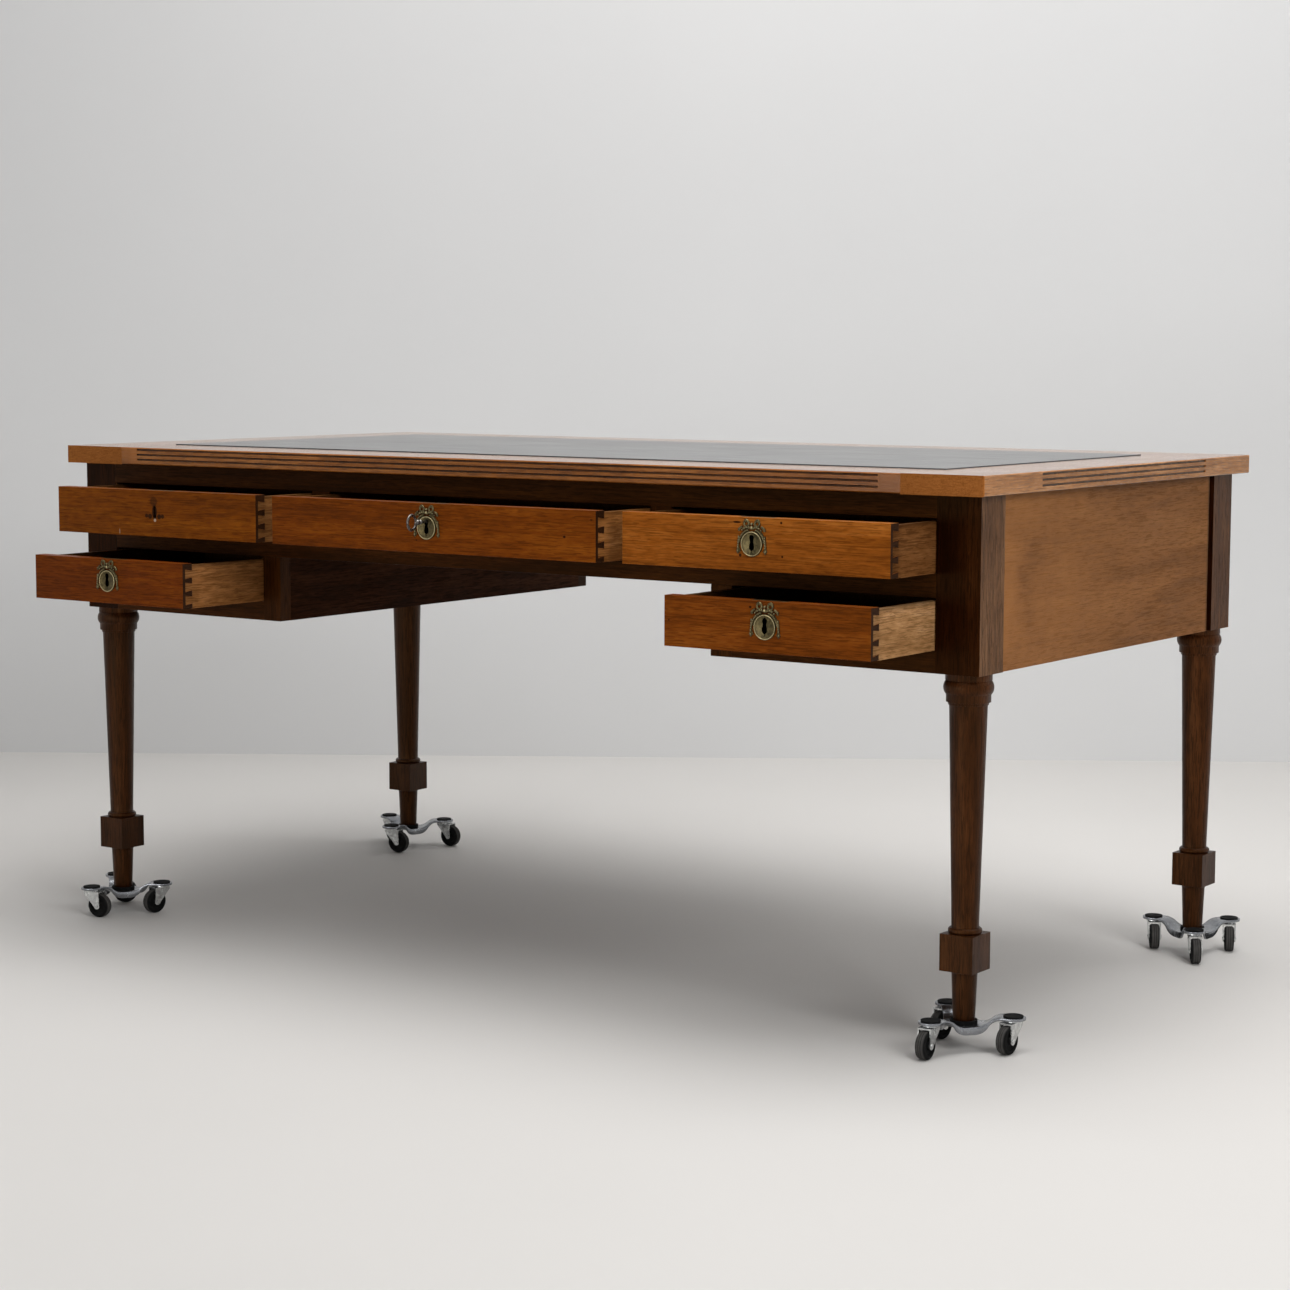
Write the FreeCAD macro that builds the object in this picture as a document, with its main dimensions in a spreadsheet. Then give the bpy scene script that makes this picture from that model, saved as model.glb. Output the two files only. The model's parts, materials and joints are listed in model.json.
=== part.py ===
import FreeCAD, Part
import math
import os
import re

import Sketcher

Vector = FreeCAD.Vector

# Driving dimensions in millimetres, angles in degrees
SIZES = {
    # Heights of the whole desk
    "desk_height": 755,
    "foot_seat": 42,
    # Top
    "top_length": 1736,
    "top_depth": 883,
    "top_thick": 28.6,
    "border_end": 128,
    "border_long": 126.5,
    "top_round": 2.5,
    "writing_thick": 3,
    "writing_proud": 1.5,
    "reed_radius": 1.6,
    "reed_drop": 3.8,
    "reed_pitch": 8,
    "reed_stop_long": 163,
    "reed_stop_end": 169,
    # Case
    "case_length": 1701,
    "case_depth": 829,
    "post_width": 68,
    "top_rail": 32.4,
    "upper_opening": 75.5,
    "middle_rail": 33,
    "lower_opening": 72.5,
    "bottom_rail": 31,
    "rail_thick": 24,
    "kneehole_width": 830,
    "stile_width": 36,
    "centre_opening": 618,
    "divider_width": 36,
    "panel_thick": 20,
    "panel_inset": 3,
    "shrink_gap": 10,
    "tongue_thick": 8,
    "pedestal_panel": 16,
    "board_thick": 14,
    "spine_thick": 16,
    "guide_height": 24,
    # Drawers
    "front_thick": 21,
    "front_gap": 1,
    "side_thick": 11,
    "side_clear": 0.8,
    "side_drop": 3,
    "run_clear": 0.3,
    "bottom_thick": 6,
    "bottom_lift": 5,
    "groove_deep": 5,
    "back_thick": 10,
    "back_drop": 9,
    "drawer_stop": 8,
    "lap_thick": 6,
    "tail_wide": 15,
    "tail_narrow": 11,
    "open_upper_left": 130,
    "open_upper_centre": 134,
    "open_upper_right": 122.5,
    "open_lower_left": 183,
    "open_lower_right": 171,
    # Locks and key
    "lock_width": 58,
    "lock_drop": 19.5,
    "lock_depth": 12,
    "lock_wall": 1.5,
    "lock_clear": 0.2,
    "bolt_width": 16,
    "bolt_thick": 4,
    "bolt_throw": 8,
    "bolt_clear": 0.5,
    "mortise_clear": 1,
    "key_rise": 7.4,
    "key_clear": 0.3,
    "keyhole_radius": 3.4,
    "keyhole_slot": 4,
    "keyhole_drop": 14,
    "plate_drop": 9.4,
    "plate_radius": 17.4,
    "plate_thick": 1.6,
    "rim_width": 2.4,
    "rim_proud": 2.8,
    "loop_radius": 5.4,
    "loop_width": 2.2,
    "loop_spread": 9.4,
    "loop_rise": 28,
    "knot_radius": 5.2,
    "knot_rise": 21.5,
    "tail_radius": 25,
    "tail_width": 7.8,
    "shank_radius": 2.3,
    "shank_proud": 27.5,
    "collar_wide": 4.4,
    "collar_long": 9,
    "collar_gap": 2.5,
    "bow_radius": 12,
    "bow_wire": 4.4,
    "bit_reach": 9,
    "bit_thick": 2.2,
    "bit_clear": 1,
    # Turned leg, from the sole up
    "sole_radius": 15.5,
    "ankle_radius": 18,
    "foot_height": 69.5,
    "cove_height": 6,
    "flare_radius": 21.5,
    "block_width": 51.5,
    "block_height": 52,
    "collar_radius": 21,
    "collar_height": 8,
    "collar_bulge": 2.8,
    "shaft_low_radius": 19,
    "shaft_high_radius": 26.5,
    "fillet_radius": 28,
    "fillet_height": 4,
    "ring_radius": 31,
    "ring_height": 10,
    "bead_height": 20,
    "bead_bulge": 3.9,
    "neck_radius": 32.4,
    "neck_height": 9,
    # Dollies
    "swivel_radius": 69,
    "arm_end_radius": 17.5,
    "waist_radius": 30,
    "dish_radius": 19.5,
    "dish_top": 36.5,
    "arm_flat_radius": 54.5,
    "arm_top": 50,
    "gauge": 2.5,
    "rim_depth": 10.5,
    "lip_depth": 1.2,
    "pad_radius": 14,
    "pad_thick": 2,
    "mat_radius": 19,
    "turn_front_left": 26,
    "turn_front_right": 18,
    "turn_back_left": 42,
    "turn_back_right": 57,
    # Castors
    "wheel_radius": 20,
    "wheel_width": 15,
    "tyre_depth": 6,
    "web_recess": 2,
    "hub_radius": 6,
    "wheel_clear": 0.6,
    "trail": 16,
    "axle_radius": 2.5,
    "axle_head": 1,
    "shaft_clear": 0.05,
    "cheek_thick": 2,
    "cheek_radius": 5.5,
    "crown_thick": 2,
    "crown_front": 9,
    "crown_back": 4,
    "race_radius": 12,
    "race_height": 3.3,
    "swivel_clear": 0.2,
    "stem_radius": 4,
    "overrun": 2,
}

# Heights up the desk, each worked out from the one above it
TOP_FACE = "(foot_seat + desk_height)"
TOP_UNDER = f"({TOP_FACE} - top_thick)"
UPPER_CEILING = f"({TOP_UNDER} - top_rail)"
UPPER_FLOOR = f"({UPPER_CEILING} - upper_opening)"
LOWER_CEILING = f"({UPPER_FLOOR} - middle_rail)"
LOWER_FLOOR = f"({LOWER_CEILING} - lower_opening)"
CASE_BOTTOM = f"({LOWER_FLOOR} - bottom_rail)"

# Places along the desk's length, measured from its middle
POST_INNER = "(case_length / 2 - post_width)"
PANEL_FACE = "(case_length / 2 - panel_inset)"
PANEL_INNER = f"({PANEL_FACE} - panel_thick)"
KNEEHOLE = "(kneehole_width / 2)"
STILE_OUTER = f"({KNEEHOLE} + stile_width)"
PEDESTAL_INNER = f"({KNEEHOLE} + pedestal_panel)"
CENTRE_EDGE = "(centre_opening / 2)"
DIVIDER_OUTER = f"({CENTRE_EDGE} + divider_width)"

# Places across the desk's depth, measured from its middle
CASE_FACE = "(case_depth / 2)"
RAIL_BACK = f"({CASE_FACE} - rail_thick)"
POST_BACK = f"({CASE_FACE} - post_width)"
DRAWER_LENGTH = f"({CASE_FACE} - spine_thick / 2 - drawer_stop)"

LEG_X = "((case_length - post_width) / 2)"
LEG_Y = "((case_depth - post_width) / 2)"

# The origin lies on the floor in the middle of the space that the desk takes with its drawers as they stand
FRONT_REACH = f"({CASE_FACE} + open_lower_left + rim_proud)"
BACK_REACH = f"({LEG_Y} + swivel_radius * sin(turn_back_right) + arm_end_radius)"
MIDDLE = f"(({FRONT_REACH} - {BACK_REACH}) / 2)"

# Middles of the side drawers along the desk's length
UPPER_SIDE_X = f"(({POST_INNER} + {DIVIDER_OUTER}) / 2)"
LOWER_SIDE_X = f"(({POST_INNER} + {STILE_OUTER}) / 2)"

# Height of a keyhole's middle up its drawer front, and of the dovetail tails up a drawer side
KEYHOLE_HEIGHT_SHARE = 0.53
TAIL_SHARES = (0.2, 0.5, 0.8)

# Corners of the desk, with the way from its middle to each along X and Y
CORNERS = (
    ("front_left", -1, -1),
    ("front_right", 1, -1),
    ("back_left", -1, 1),
    ("back_right", 1, 1),
)

# Sweep of the hanging tails, in degrees about the middle of the key plate
TAIL_SWEEP = 102
TAIL_START_RIGHT = -29
TAIL_START_LEFT = 180 - TAIL_SWEEP - TAIL_START_RIGHT

# Way that each castor trails, in degrees, for the three arms of each dolly
TRAILS = {
    "front_left": (261, 46, 11),
    "front_right": (266, 263, 273),
    "back_left": (2, 345, 10),
    "back_right": (296, 300, 301),
}

# Cosine above which an edge counts as running along a direction
ALIGNED_COSINE_SHARE = 0.999

# Axis and angle that lay an upright bar along X
ACROSS = (Vector(0, 1, 0), "90")

doc = FreeCAD.newDocument("partners_desk")
sheet = doc.addObject("Spreadsheet::Sheet", "Sizes")
nodes = []


def write_sizes():
    """Put every driving dimension into its own named cell."""
    for row, (alias, size) in enumerate(SIZES.items(), start=1):
        sheet.set(f"A{row}", alias)
        sheet.set(f"B{row}", str(size))
        sheet.setAlias(f"B{row}", alias)
    doc.recompute()


def bound(text):
    """The expression with every size's name pointing at its cell."""
    return re.sub(r"[a-z_]+", lambda word: f"Sizes.{word[0]}" if word[0] in SIZES else word[0], text)


def worth(text):
    """The expression's present value."""
    return float(sheet.evalExpression(bound(text)))


def bind(thing, prop, text):
    """Tie one property of a document object to an expression of the sizes."""
    thing.setExpression(prop, bound(text))


def place(thing, at=("0", "0", "0"), turn="0", axis=Vector(0, 0, 1)):
    """Tie an object's place to expressions, turned about one axis."""
    thing.Placement = FreeCAD.Placement(Vector(), FreeCAD.Rotation(axis, worth(turn)))
    for letter, text in zip("xyz", at):
        bind(thing, f"Placement.Base.{letter}", text)
    if turn != "0":
        bind(thing, "Placement.Rotation.Angle", turn)
    return thing


def slab(name, xs, ys, zs):
    """A rectangular board between two planes each way."""
    board = doc.addObject("Part::Box", name)
    for prop, (low, high) in zip(("Length", "Width", "Height"), (xs, ys, zs)):
        bind(board, prop, f"({high}) - ({low})")
    return place(board, (xs[0], ys[0], zs[0]))


def rod(name, radius, length, at, axis=Vector(0, 0, 1), turn="0"):
    """A round bar that starts at a point and runs along its own turned Z."""
    bar = doc.addObject("Part::Cylinder", name)
    bind(bar, "Radius", radius)
    bind(bar, "Height", length)
    return place(bar, at, turn, axis)


def rod_along_depth(name, radius, low, high, x="0", z="0"):
    """A round bar along Y between two planes."""
    return rod(name, radius, f"({high}) - ({low})", (x, high, z), Vector(1, 0, 0), "90")


def cut(name, base, *tools):
    """The base with the tools taken away, one after another."""
    for index, tool in enumerate(tools, start=1):
        result = doc.addObject("Part::Cut", f"{name}_cut_{index}")
        result.Base = base
        result.Tool = tool
        base = result
    return base


def fuse(name, *shapes):
    """Several shapes joined into one solid."""
    result = doc.addObject("Part::MultiFuse", name)
    result.Shapes = list(shapes)
    result.Refine = True
    return result


def mirrored(name, source, normal=Vector(1, 0, 0)):
    """The source's mirror image in a plane through the origin."""
    image = doc.addObject("Part::Mirroring", name)
    image.Source = source
    image.Normal = normal
    return image


def group(name, pieces, at=("0", "0", "0"), turn="0"):
    """Separate solids kept together and placed as one."""
    held = doc.addObject("Part::Compound", name)
    held.Links = list(pieces)
    return place(held, at, turn)


def node(label, pieces, at=("0", MIDDLE, "0"), turn="0"):
    """One named sub-part of the desk."""
    held = group(label, pieces, at, turn)
    held.Label = label
    nodes.append(held)
    return held


def outline(body, name, role, corners, rounds=None, lift="0"):
    """A closed outline on one of the body's own planes.

    corners are pairs of expressions. rounds gives, for the stretch that leaves a corner, the radius of its
    arc and the side that the arc's centre lies on: 1 for left of the way, -1 for right.
    """
    rounds = rounds or {}
    sketch = body.newObject("Sketcher::SketchObject", name)
    plane = next(feature for feature in body.Origin.OriginFeatures if feature.Role == role)
    sketch.AttachmentSupport = (plane, [""])
    sketch.MapMode = "FlatFace"
    if lift != "0":
        bind(sketch, "AttachmentOffset.Base.z", lift)
    points = [Vector(worth(x), worth(y), 0) for x, y in corners]
    stretches = []
    for index, start in enumerate(points):
        end = points[(index + 1) % len(points)]
        if index in rounds:
            radius, side = worth(rounds[index][0]), rounds[index][1]
            stretches.append(add_arc(sketch, start, end, radius, side))
        else:
            stretches.append((sketch.addGeometry(Part.LineSegment(start, end), False), 1, 2))
    for index, (stretch, first, last) in enumerate(stretches):
        following, next_first, _ = stretches[(index + 1) % len(stretches)]
        sketch.addConstraint(Sketcher.Constraint("Coincident", stretch, last, following, next_first))
        for kind, axis, text in zip(("DistanceX", "DistanceY"), (-2, -1), corners[index]):
            if text == "0":
                sketch.addConstraint(Sketcher.Constraint("PointOnObject", stretch, first, axis))
                continue
            rule = Sketcher.Constraint(kind, -1, 1, stretch, first, worth(text))
            bind(sketch, f"Constraints[{sketch.addConstraint(rule)}]", text)
        if index in rounds:
            rule = Sketcher.Constraint("Radius", stretch, worth(rounds[index][0]))
            bind(sketch, f"Constraints[{sketch.addConstraint(rule)}]", rounds[index][0])
    return sketch


def add_arc(sketch, start, end, radius, side):
    """An arc of less than a half circle between two points, with the ends it starts and stops at."""
    chord = end - start
    left = Vector(-chord.y, chord.x, 0).normalize()
    centre = (start + end) / 2 + left * side * math.sqrt(radius**2 - (chord.Length / 2) ** 2)
    first, last = (start, end) if side > 0 else (end, start)
    angles = [math.atan2(point.y - centre.y, point.x - centre.x) for point in (first, last)]
    circle = Part.Circle(centre, Vector(0, 0, 1), radius)
    arc = sketch.addGeometry(Part.ArcOfCircle(circle, *angles), False)
    return (arc, 1, 2) if side > 0 else (arc, 2, 1)


def square_outline(body, name, width, lift):
    """A square about the origin on the body's ground plane."""
    half = f"({width}) / 2"
    corners = [(f"-{half}", f"-{half}"), (half, f"-{half}"), (half, half), (f"-{half}", half)]
    return outline(body, name, "XY_Plane", corners, lift=lift)


def pad(body, name, sketch, length, symmetric=False):
    """A sketch drawn out into a solid."""
    feature = body.newObject("PartDesign::Pad", name)
    feature.Profile = sketch
    bind(feature, "Length", length)
    if symmetric:
        feature.SideType = "Symmetric"
    return feature


def revolve(body, name, sketch):
    """A sketch turned once round its own upright axis."""
    feature = body.newObject("PartDesign::Revolution", name)
    feature.Profile = sketch
    feature.ReferenceAxis = (sketch, ["V_Axis"])
    feature.Angle = 360
    return feature


def chord_radius(chord, bulge):
    """The radius of an arc that stands a given bulge out of its chord."""
    return f"((({chord}) / 2)^2 + ({bulge})^2) / (2 * ({bulge}))"


def turned_leg():
    """The turned leg and the square post above it, one piece of wood, with its sole at the origin."""
    body = doc.addObject("PartDesign::Body", "turned_leg")
    length = f"({CASE_BOTTOM} - foot_seat)"
    block_top = "(foot_height + block_height)"
    shaft_bottom = f"({block_top} + collar_height)"
    neck_bottom = f"({length} - neck_height)"
    bead_bottom = f"({neck_bottom} - bead_height)"
    ring_bottom = f"({bead_bottom} - ring_height)"
    shaft_top = f"({ring_bottom} - fillet_height)"
    ankle_top = "(foot_height - cove_height)"
    corners = [
        ("0", "0"),
        ("sole_radius", "0"),
        ("ankle_radius", ankle_top),
        ("flare_radius", "foot_height"),
        ("flare_radius", block_top),
        ("collar_radius", block_top),
        ("collar_radius", shaft_bottom),
        ("shaft_low_radius", shaft_bottom),
        ("shaft_high_radius", shaft_top),
        ("fillet_radius", shaft_top),
        ("fillet_radius", ring_bottom),
        ("ring_radius", ring_bottom),
        ("ring_radius", bead_bottom),
        ("ring_radius", neck_bottom),
        ("neck_radius", neck_bottom),
        ("neck_radius", length),
        ("0", length),
    ]
    cove = "((flare_radius - ankle_radius)^2 + cove_height^2) / (2 * (flare_radius - ankle_radius))"
    rounds = {
        2: (cove, -1),
        5: (chord_radius("collar_height", "collar_bulge"), 1),
        12: (chord_radius("bead_height", "bead_bulge"), 1),
    }
    revolve(body, "turning", outline(body, "turning_profile", "XZ_Plane", corners, rounds))
    block = square_outline(body, "block_profile", "block_width", "foot_height")
    pad(body, "block", block, "block_height")
    post = square_outline(body, "post_profile", "post_width", length)
    pad(body, "post", post, f"{TOP_UNDER} - {CASE_BOTTOM}")
    return body


def build_legs():
    """Four legs, one at each corner."""
    leg = turned_leg()
    for corner, across, along in CORNERS:
        at = (f"{across} * {LEG_X}", f"{MIDDLE} + {along} * {LEG_Y}", "foot_seat")
        node(f"leg_{corner}", [leg], at)


def edges_along(shape, direction, keep):
    """Names of the straight edges that run along a direction and pass a test on their middle."""
    names = []
    for index, edge in enumerate(shape.Edges, start=1):
        run = (edge.Vertexes[-1].Point - edge.Vertexes[0].Point).normalize()
        if abs(run.dot(direction)) > ALIGNED_COSINE_SHARE and keep(edge.CenterOfMass):
            names.append(f"Edge{index}")
    return names


def border_rail(name, length, width, square_ends):
    """A border rail along X with its outer face at y = 0 and its wood behind it, arrises rounded outside."""
    body = doc.addObject("PartDesign::Body", name)
    half = f"({length}) / 2"
    corners = [(f"-{half}", "0"), (half, "0"), (half, width), (f"-{half}", width)]
    lath = pad(body, "lath", outline(body, "lath_profile", "XY_Plane", corners), "top_thick")
    doc.recompute()
    outer = worth(width) / 2
    names = edges_along(lath.Shape, Vector(1, 0, 0), lambda middle: middle.y < outer)
    if not square_ends:
        names += edges_along(lath.Shape, Vector(0, 0, 1), lambda middle: middle.y < outer)
    rounding = body.newObject("PartDesign::Fillet", "arris")
    rounding.Base = (lath, names)
    bind(rounding, "Radius", "top_round")
    return body


def reeded(name, rail, run):
    """A border rail with three stopped grooves in its outer face."""
    grooves = []
    for count in range(3):
        height = f"top_thick - reed_drop - {count} * reed_pitch"
        at = (f"-({run}) / 2", "0", height)
        grooves.append(rod(f"{name}_groove_{count}", "reed_radius", run, at, Vector(0, 1, 0), "90"))
    return cut(name, rail, *grooves)


def build_top():
    """The framed top: four border rails, a core panel and the writing sheet."""
    long_length = "top_length - 2 * border_end"
    long_rail = border_rail("long_rail", long_length, "border_long", True)
    end_rail = border_rail("end_rail", "top_depth", "border_end", False)
    long_reeds = reeded("reeded_long", long_rail, "top_length - 2 * reed_stop_long")
    end_reeds = reeded("reeded_end", end_rail, "top_depth - 2 * reed_stop_end")
    rails = [
        group("border_front", [long_reeds], ("0", "-top_depth / 2", TOP_UNDER)),
        group("border_back", [long_reeds], ("0", "top_depth / 2", TOP_UNDER), "180"),
        group("border_right", [end_reeds], ("top_length / 2", "0", TOP_UNDER), "90"),
        group("border_left", [end_reeds], ("-top_length / 2", "0", TOP_UNDER), "270"),
    ]
    node("top_border", rails)
    half_length = "(top_length / 2 - border_end)"
    half_depth = "(top_depth / 2 - border_long)"
    bed = f"({TOP_FACE} + writing_proud - writing_thick)"
    across = (f"-{half_length}", half_length)
    along = (f"-{half_depth}", half_depth)
    node("top_panel", [slab("core_board", across, along, (TOP_UNDER, bed))])
    node("writing_surface", [slab("writing_sheet", across, along, (bed, f"{bed} + writing_thick"))])


def build_side_panels():
    """The end panels between the posts, each shrunk away from its rear post down to its tongue."""
    heights = (CASE_BOTTOM, TOP_UNDER)
    shrunk = f"({POST_BACK} - shrink_gap)"
    board = slab("end_board", (PANEL_INNER, PANEL_FACE), (f"-{POST_BACK}", shrunk), heights)
    tongue_face = f"({PANEL_INNER} + tongue_thick)"
    tongue = slab("end_tongue", (PANEL_INNER, tongue_face), (shrunk, POST_BACK), heights)
    right = fuse("end_panel", board, tongue)
    node("side_panel_right", [right])
    node("side_panel_left", [mirrored("end_panel_left", right)])


def lock_mortise(name, x, floor):
    """The hole in the underside of a rail that a thrown lock bolt enters."""
    half = "(bolt_width / 2 + mortise_clear)"
    bolt_face = "(front_thick - lock_depth / 2 - bolt_thick / 2 - mortise_clear)"
    bolt_back = "(front_thick - lock_depth / 2 + bolt_thick / 2 + mortise_clear)"
    across = (f"{x} - {half}", f"{x} + {half}")
    along = (f"-{CASE_FACE} + {bolt_face}", f"-{CASE_FACE} + {bolt_back}")
    return slab(name, across, along, (floor, f"{floor} + bolt_throw + mortise_clear"))


def frame_side():
    """The rails, dividers and stiles of one long side of the case, at the front."""
    ys = (f"-{CASE_FACE}", f"-{RAIL_BACK}")
    full = (f"-{POST_INNER}", POST_INNER)
    top = slab("top_rail", full, ys, (UPPER_CEILING, TOP_UNDER))
    middle = slab("middle_rail", full, ys, (LOWER_CEILING, UPPER_FLOOR))
    top_mortises = [
        lock_mortise("mortise_upper_left", f"-{UPPER_SIDE_X}", UPPER_CEILING),
        lock_mortise("mortise_upper_centre", "0", UPPER_CEILING),
        lock_mortise("mortise_upper_right", UPPER_SIDE_X, UPPER_CEILING),
    ]
    middle_mortises = [
        lock_mortise("mortise_lower_left", f"-{LOWER_SIDE_X}", LOWER_CEILING),
        lock_mortise("mortise_lower_right", LOWER_SIDE_X, LOWER_CEILING),
    ]
    divider = slab("divider", (CENTRE_EDGE, DIVIDER_OUTER), ys, (UPPER_FLOOR, UPPER_CEILING))
    stile = slab("stile", (KNEEHOLE, STILE_OUTER), ys, (CASE_BOTTOM, LOWER_CEILING))
    bottom = slab("bottom_rail", (STILE_OUTER, POST_INNER), ys, (CASE_BOTTOM, LOWER_FLOOR))
    pieces = [cut("bored_top_rail", top, *top_mortises), cut("bored_middle_rail", middle, *middle_mortises)]
    for piece in (divider, stile, bottom):
        pieces += [piece, mirrored(f"{piece.Name}_left", piece)]
    return pieces


def build_frame():
    """The front frame and, turned about, the rear one."""
    pieces = frame_side()
    node("front_rails", pieces)
    node("back_rails", pieces, turn="180")


def build_inner_boards():
    """Dust boards, pedestal sides, guide strips and spines that carry, part and stop the drawers."""
    full_depth = (f"-{RAIL_BACK}", RAIL_BACK)
    between_posts = (f"-{POST_BACK}", POST_BACK)
    board_bottom = f"({UPPER_FLOOR} - board_thick)"
    floor_bottom = f"({LOWER_FLOOR} - board_thick)"
    upper_guide = f"({UPPER_FLOOR} + guide_height)"
    lower_guide = f"({LOWER_FLOOR} + guide_height)"
    spine = ("-spine_thick / 2", "spine_thick / 2")
    post_strip = (POST_INNER, PANEL_INNER)
    right = [
        slab("pedestal_side", (KNEEHOLE, PEDESTAL_INNER), full_depth, (CASE_BOTTOM, board_bottom)),
        slab("pedestal_floor", (PEDESTAL_INNER, POST_INNER), full_depth, (floor_bottom, LOWER_FLOOR)),
        slab("divider_guide", (CENTRE_EDGE, DIVIDER_OUTER), full_depth, (UPPER_FLOOR, upper_guide)),
        slab("stile_guide", (PEDESTAL_INNER, STILE_OUTER), full_depth, (LOWER_FLOOR, lower_guide)),
        slab("upper_post_guide", post_strip, between_posts, (board_bottom, upper_guide)),
        slab("lower_post_guide", post_strip, between_posts, (floor_bottom, lower_guide)),
        slab("pedestal_spine", (PEDESTAL_INNER, PANEL_INNER), spine, (lower_guide, board_bottom)),
    ]
    dust_board = slab("dust_board", (f"-{POST_INNER}", POST_INNER), full_depth, (board_bottom, UPPER_FLOOR))
    long_spine = slab("long_spine", (f"-{PANEL_INNER}", PANEL_INNER), spine, (upper_guide, TOP_UNDER))
    left = [mirrored(f"{piece.Name}_left", piece) for piece in right]
    node("inner_boards", [dust_board, long_spine, *right, *left])


class DrawerSize:
    """The outer size of a drawer front and the height of its key axis over the front's bottom."""

    def __init__(self, name, width, height):
        self.name = name
        self.width = f"({width} - 2 * front_gap)"
        self.height = f"({height} - 2 * front_gap)"
        self.key_height = f"({self.height} * {KEYHOLE_HEIGHT_SHARE} + key_rise)"


def dovetails(name, size, outer):
    """The tails on the front end of a drawer side, at the drawer's right, reaching out to a given face."""
    inner = f"({size.width} / 2 - side_clear - side_thick)"
    bottom = "(run_clear - front_gap)"
    top = f"({size.height} - side_drop)"
    tails = []
    for count, share in enumerate(TAIL_SHARES):
        tail = doc.addObject("Part::Wedge", f"{name}_tail_{count}")
        level = f"({bottom} + ({top} - {bottom}) * {share})"
        for prop, text in (
            ("Xmin", inner),
            ("X2min", inner),
            ("Xmax", outer),
            ("X2max", outer),
            ("Ymin", "lap_thick"),
            ("Ymax", "front_thick"),
            ("Zmin", f"{level} - tail_wide / 2"),
            ("Zmax", f"{level} + tail_wide / 2"),
            ("Z2min", f"{level} - tail_narrow / 2"),
            ("Z2max", f"{level} + tail_narrow / 2"),
        ):
            bind(tail, prop, text)
        tails.append(tail)
    return tails


def drawer_side(size):
    """A drawer side with its dovetail tails, at the drawer's right."""
    name = size.name
    outer = f"({size.width} / 2 - side_clear)"
    inner = f"({outer} - side_thick)"
    heights = ("run_clear - front_gap", f"{size.height} - side_drop")
    board = slab(f"{name}_side_board", (inner, outer), ("front_thick", DRAWER_LENGTH), heights)
    return fuse(f"{name}_side_tails", board, *dovetails(name, size, outer))


def keyhole(name, axis, low, high):
    """A keyhole cut through along the depth: a round top about the key axis, a slot and a wider round foot."""
    foot = f"({axis} - keyhole_drop)"
    bore = rod_along_depth(f"{name}_key_bore", "shank_radius + key_clear", low, high, z=axis)
    wide = rod_along_depth(f"{name}_key_foot", "keyhole_radius", low, high, z=foot)
    half = "keyhole_slot / 2"
    slot = slab(f"{name}_key_slot", (f"-{half}", half), (low, high), (foot, axis))
    return fuse(f"{name}_keyhole", bore, wide, slot)


def drawer_pieces(size):
    """A drawer's front and its box: two sides, a bottom let into grooves, and a back standing on it."""
    name = size.name
    half = f"{size.width} / 2"
    inner = f"({half} - side_clear - side_thick)"
    groove = f"({inner} + groove_deep)"
    floor = ("bottom_lift", "bottom_lift + bottom_thick")
    back_face = f"({DRAWER_LENGTH} - 2 * back_thick)"
    bottom = slab(
        f"{name}_bottom",
        (f"-{groove}", groove),
        ("front_thick - groove_deep", f"{DRAWER_LENGTH} - back_thick"),
        floor,
    )
    back = slab(
        f"{name}_back",
        (f"-{inner}", inner),
        (back_face, f"{DRAWER_LENGTH} - back_thick"),
        (floor[1], f"{size.height} - back_drop"),
    )
    right = cut(f"{name}_side", drawer_side(size), bottom)
    left = mirrored(f"{name}_side_left", right)
    board = slab(f"{name}_front_board", (f"-{half}", half), ("0", "front_thick"), ("0", size.height))
    mortise = lock_body(name, size, "lock_clear")
    hole = keyhole(f"{name}_front", size.key_height, "-overrun", "front_thick")
    sockets = fuse(f"{name}_sockets", *dovetails(f"{name}_socket", size, f"{half} + overrun"))
    sockets_left = mirrored(f"{name}_sockets_left", sockets)
    front = cut(f"{name}_front", board, right, left, sockets, sockets_left, bottom, mortise, hole)
    return front, [left, right, back, bottom]


def lock_body(name, size, spare="0"):
    """The block that a lock fills in the back of a drawer front, with some room to spare at its sides."""
    half = f"(lock_width / 2 + {spare})"
    floor = f"{size.key_height} - lock_drop - {spare}"
    along = ("front_thick - lock_depth", "front_thick")
    return slab(f"{name}_lock_block_{spare}", (f"-{half}", half), along, (floor, size.height))


def lock_case(size):
    """The lock's hollow case, open for the key in front and for the bolt on top."""
    name = f"{size.name}_lock"
    half = "(lock_width / 2 - lock_wall)"
    depth = ("front_thick - lock_depth + lock_wall", "front_thick - lock_wall")
    heights = (f"{size.key_height} - lock_drop + lock_wall", f"{size.height} - lock_wall")
    cavity = slab(f"{name}_cavity", (f"-{half}", half), depth, heights)
    bolt_half = "(bolt_width / 2 + lock_clear)"
    middle = "front_thick - lock_depth / 2"
    bolt_depth = (f"{middle} - bolt_thick / 2 - lock_clear", f"{middle} + bolt_thick / 2 + lock_clear")
    slot_heights = (f"{size.height} - 2 * lock_wall", f"{size.height} + overrun")
    slot = slab(f"{name}_bolt_slot", (f"-{bolt_half}", bolt_half), bolt_depth, slot_heights)
    hole = keyhole(name, size.key_height, "front_thick - lock_depth - overrun", depth[0])
    return cut(name, lock_body(size.name, size), cavity, slot, hole)


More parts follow.
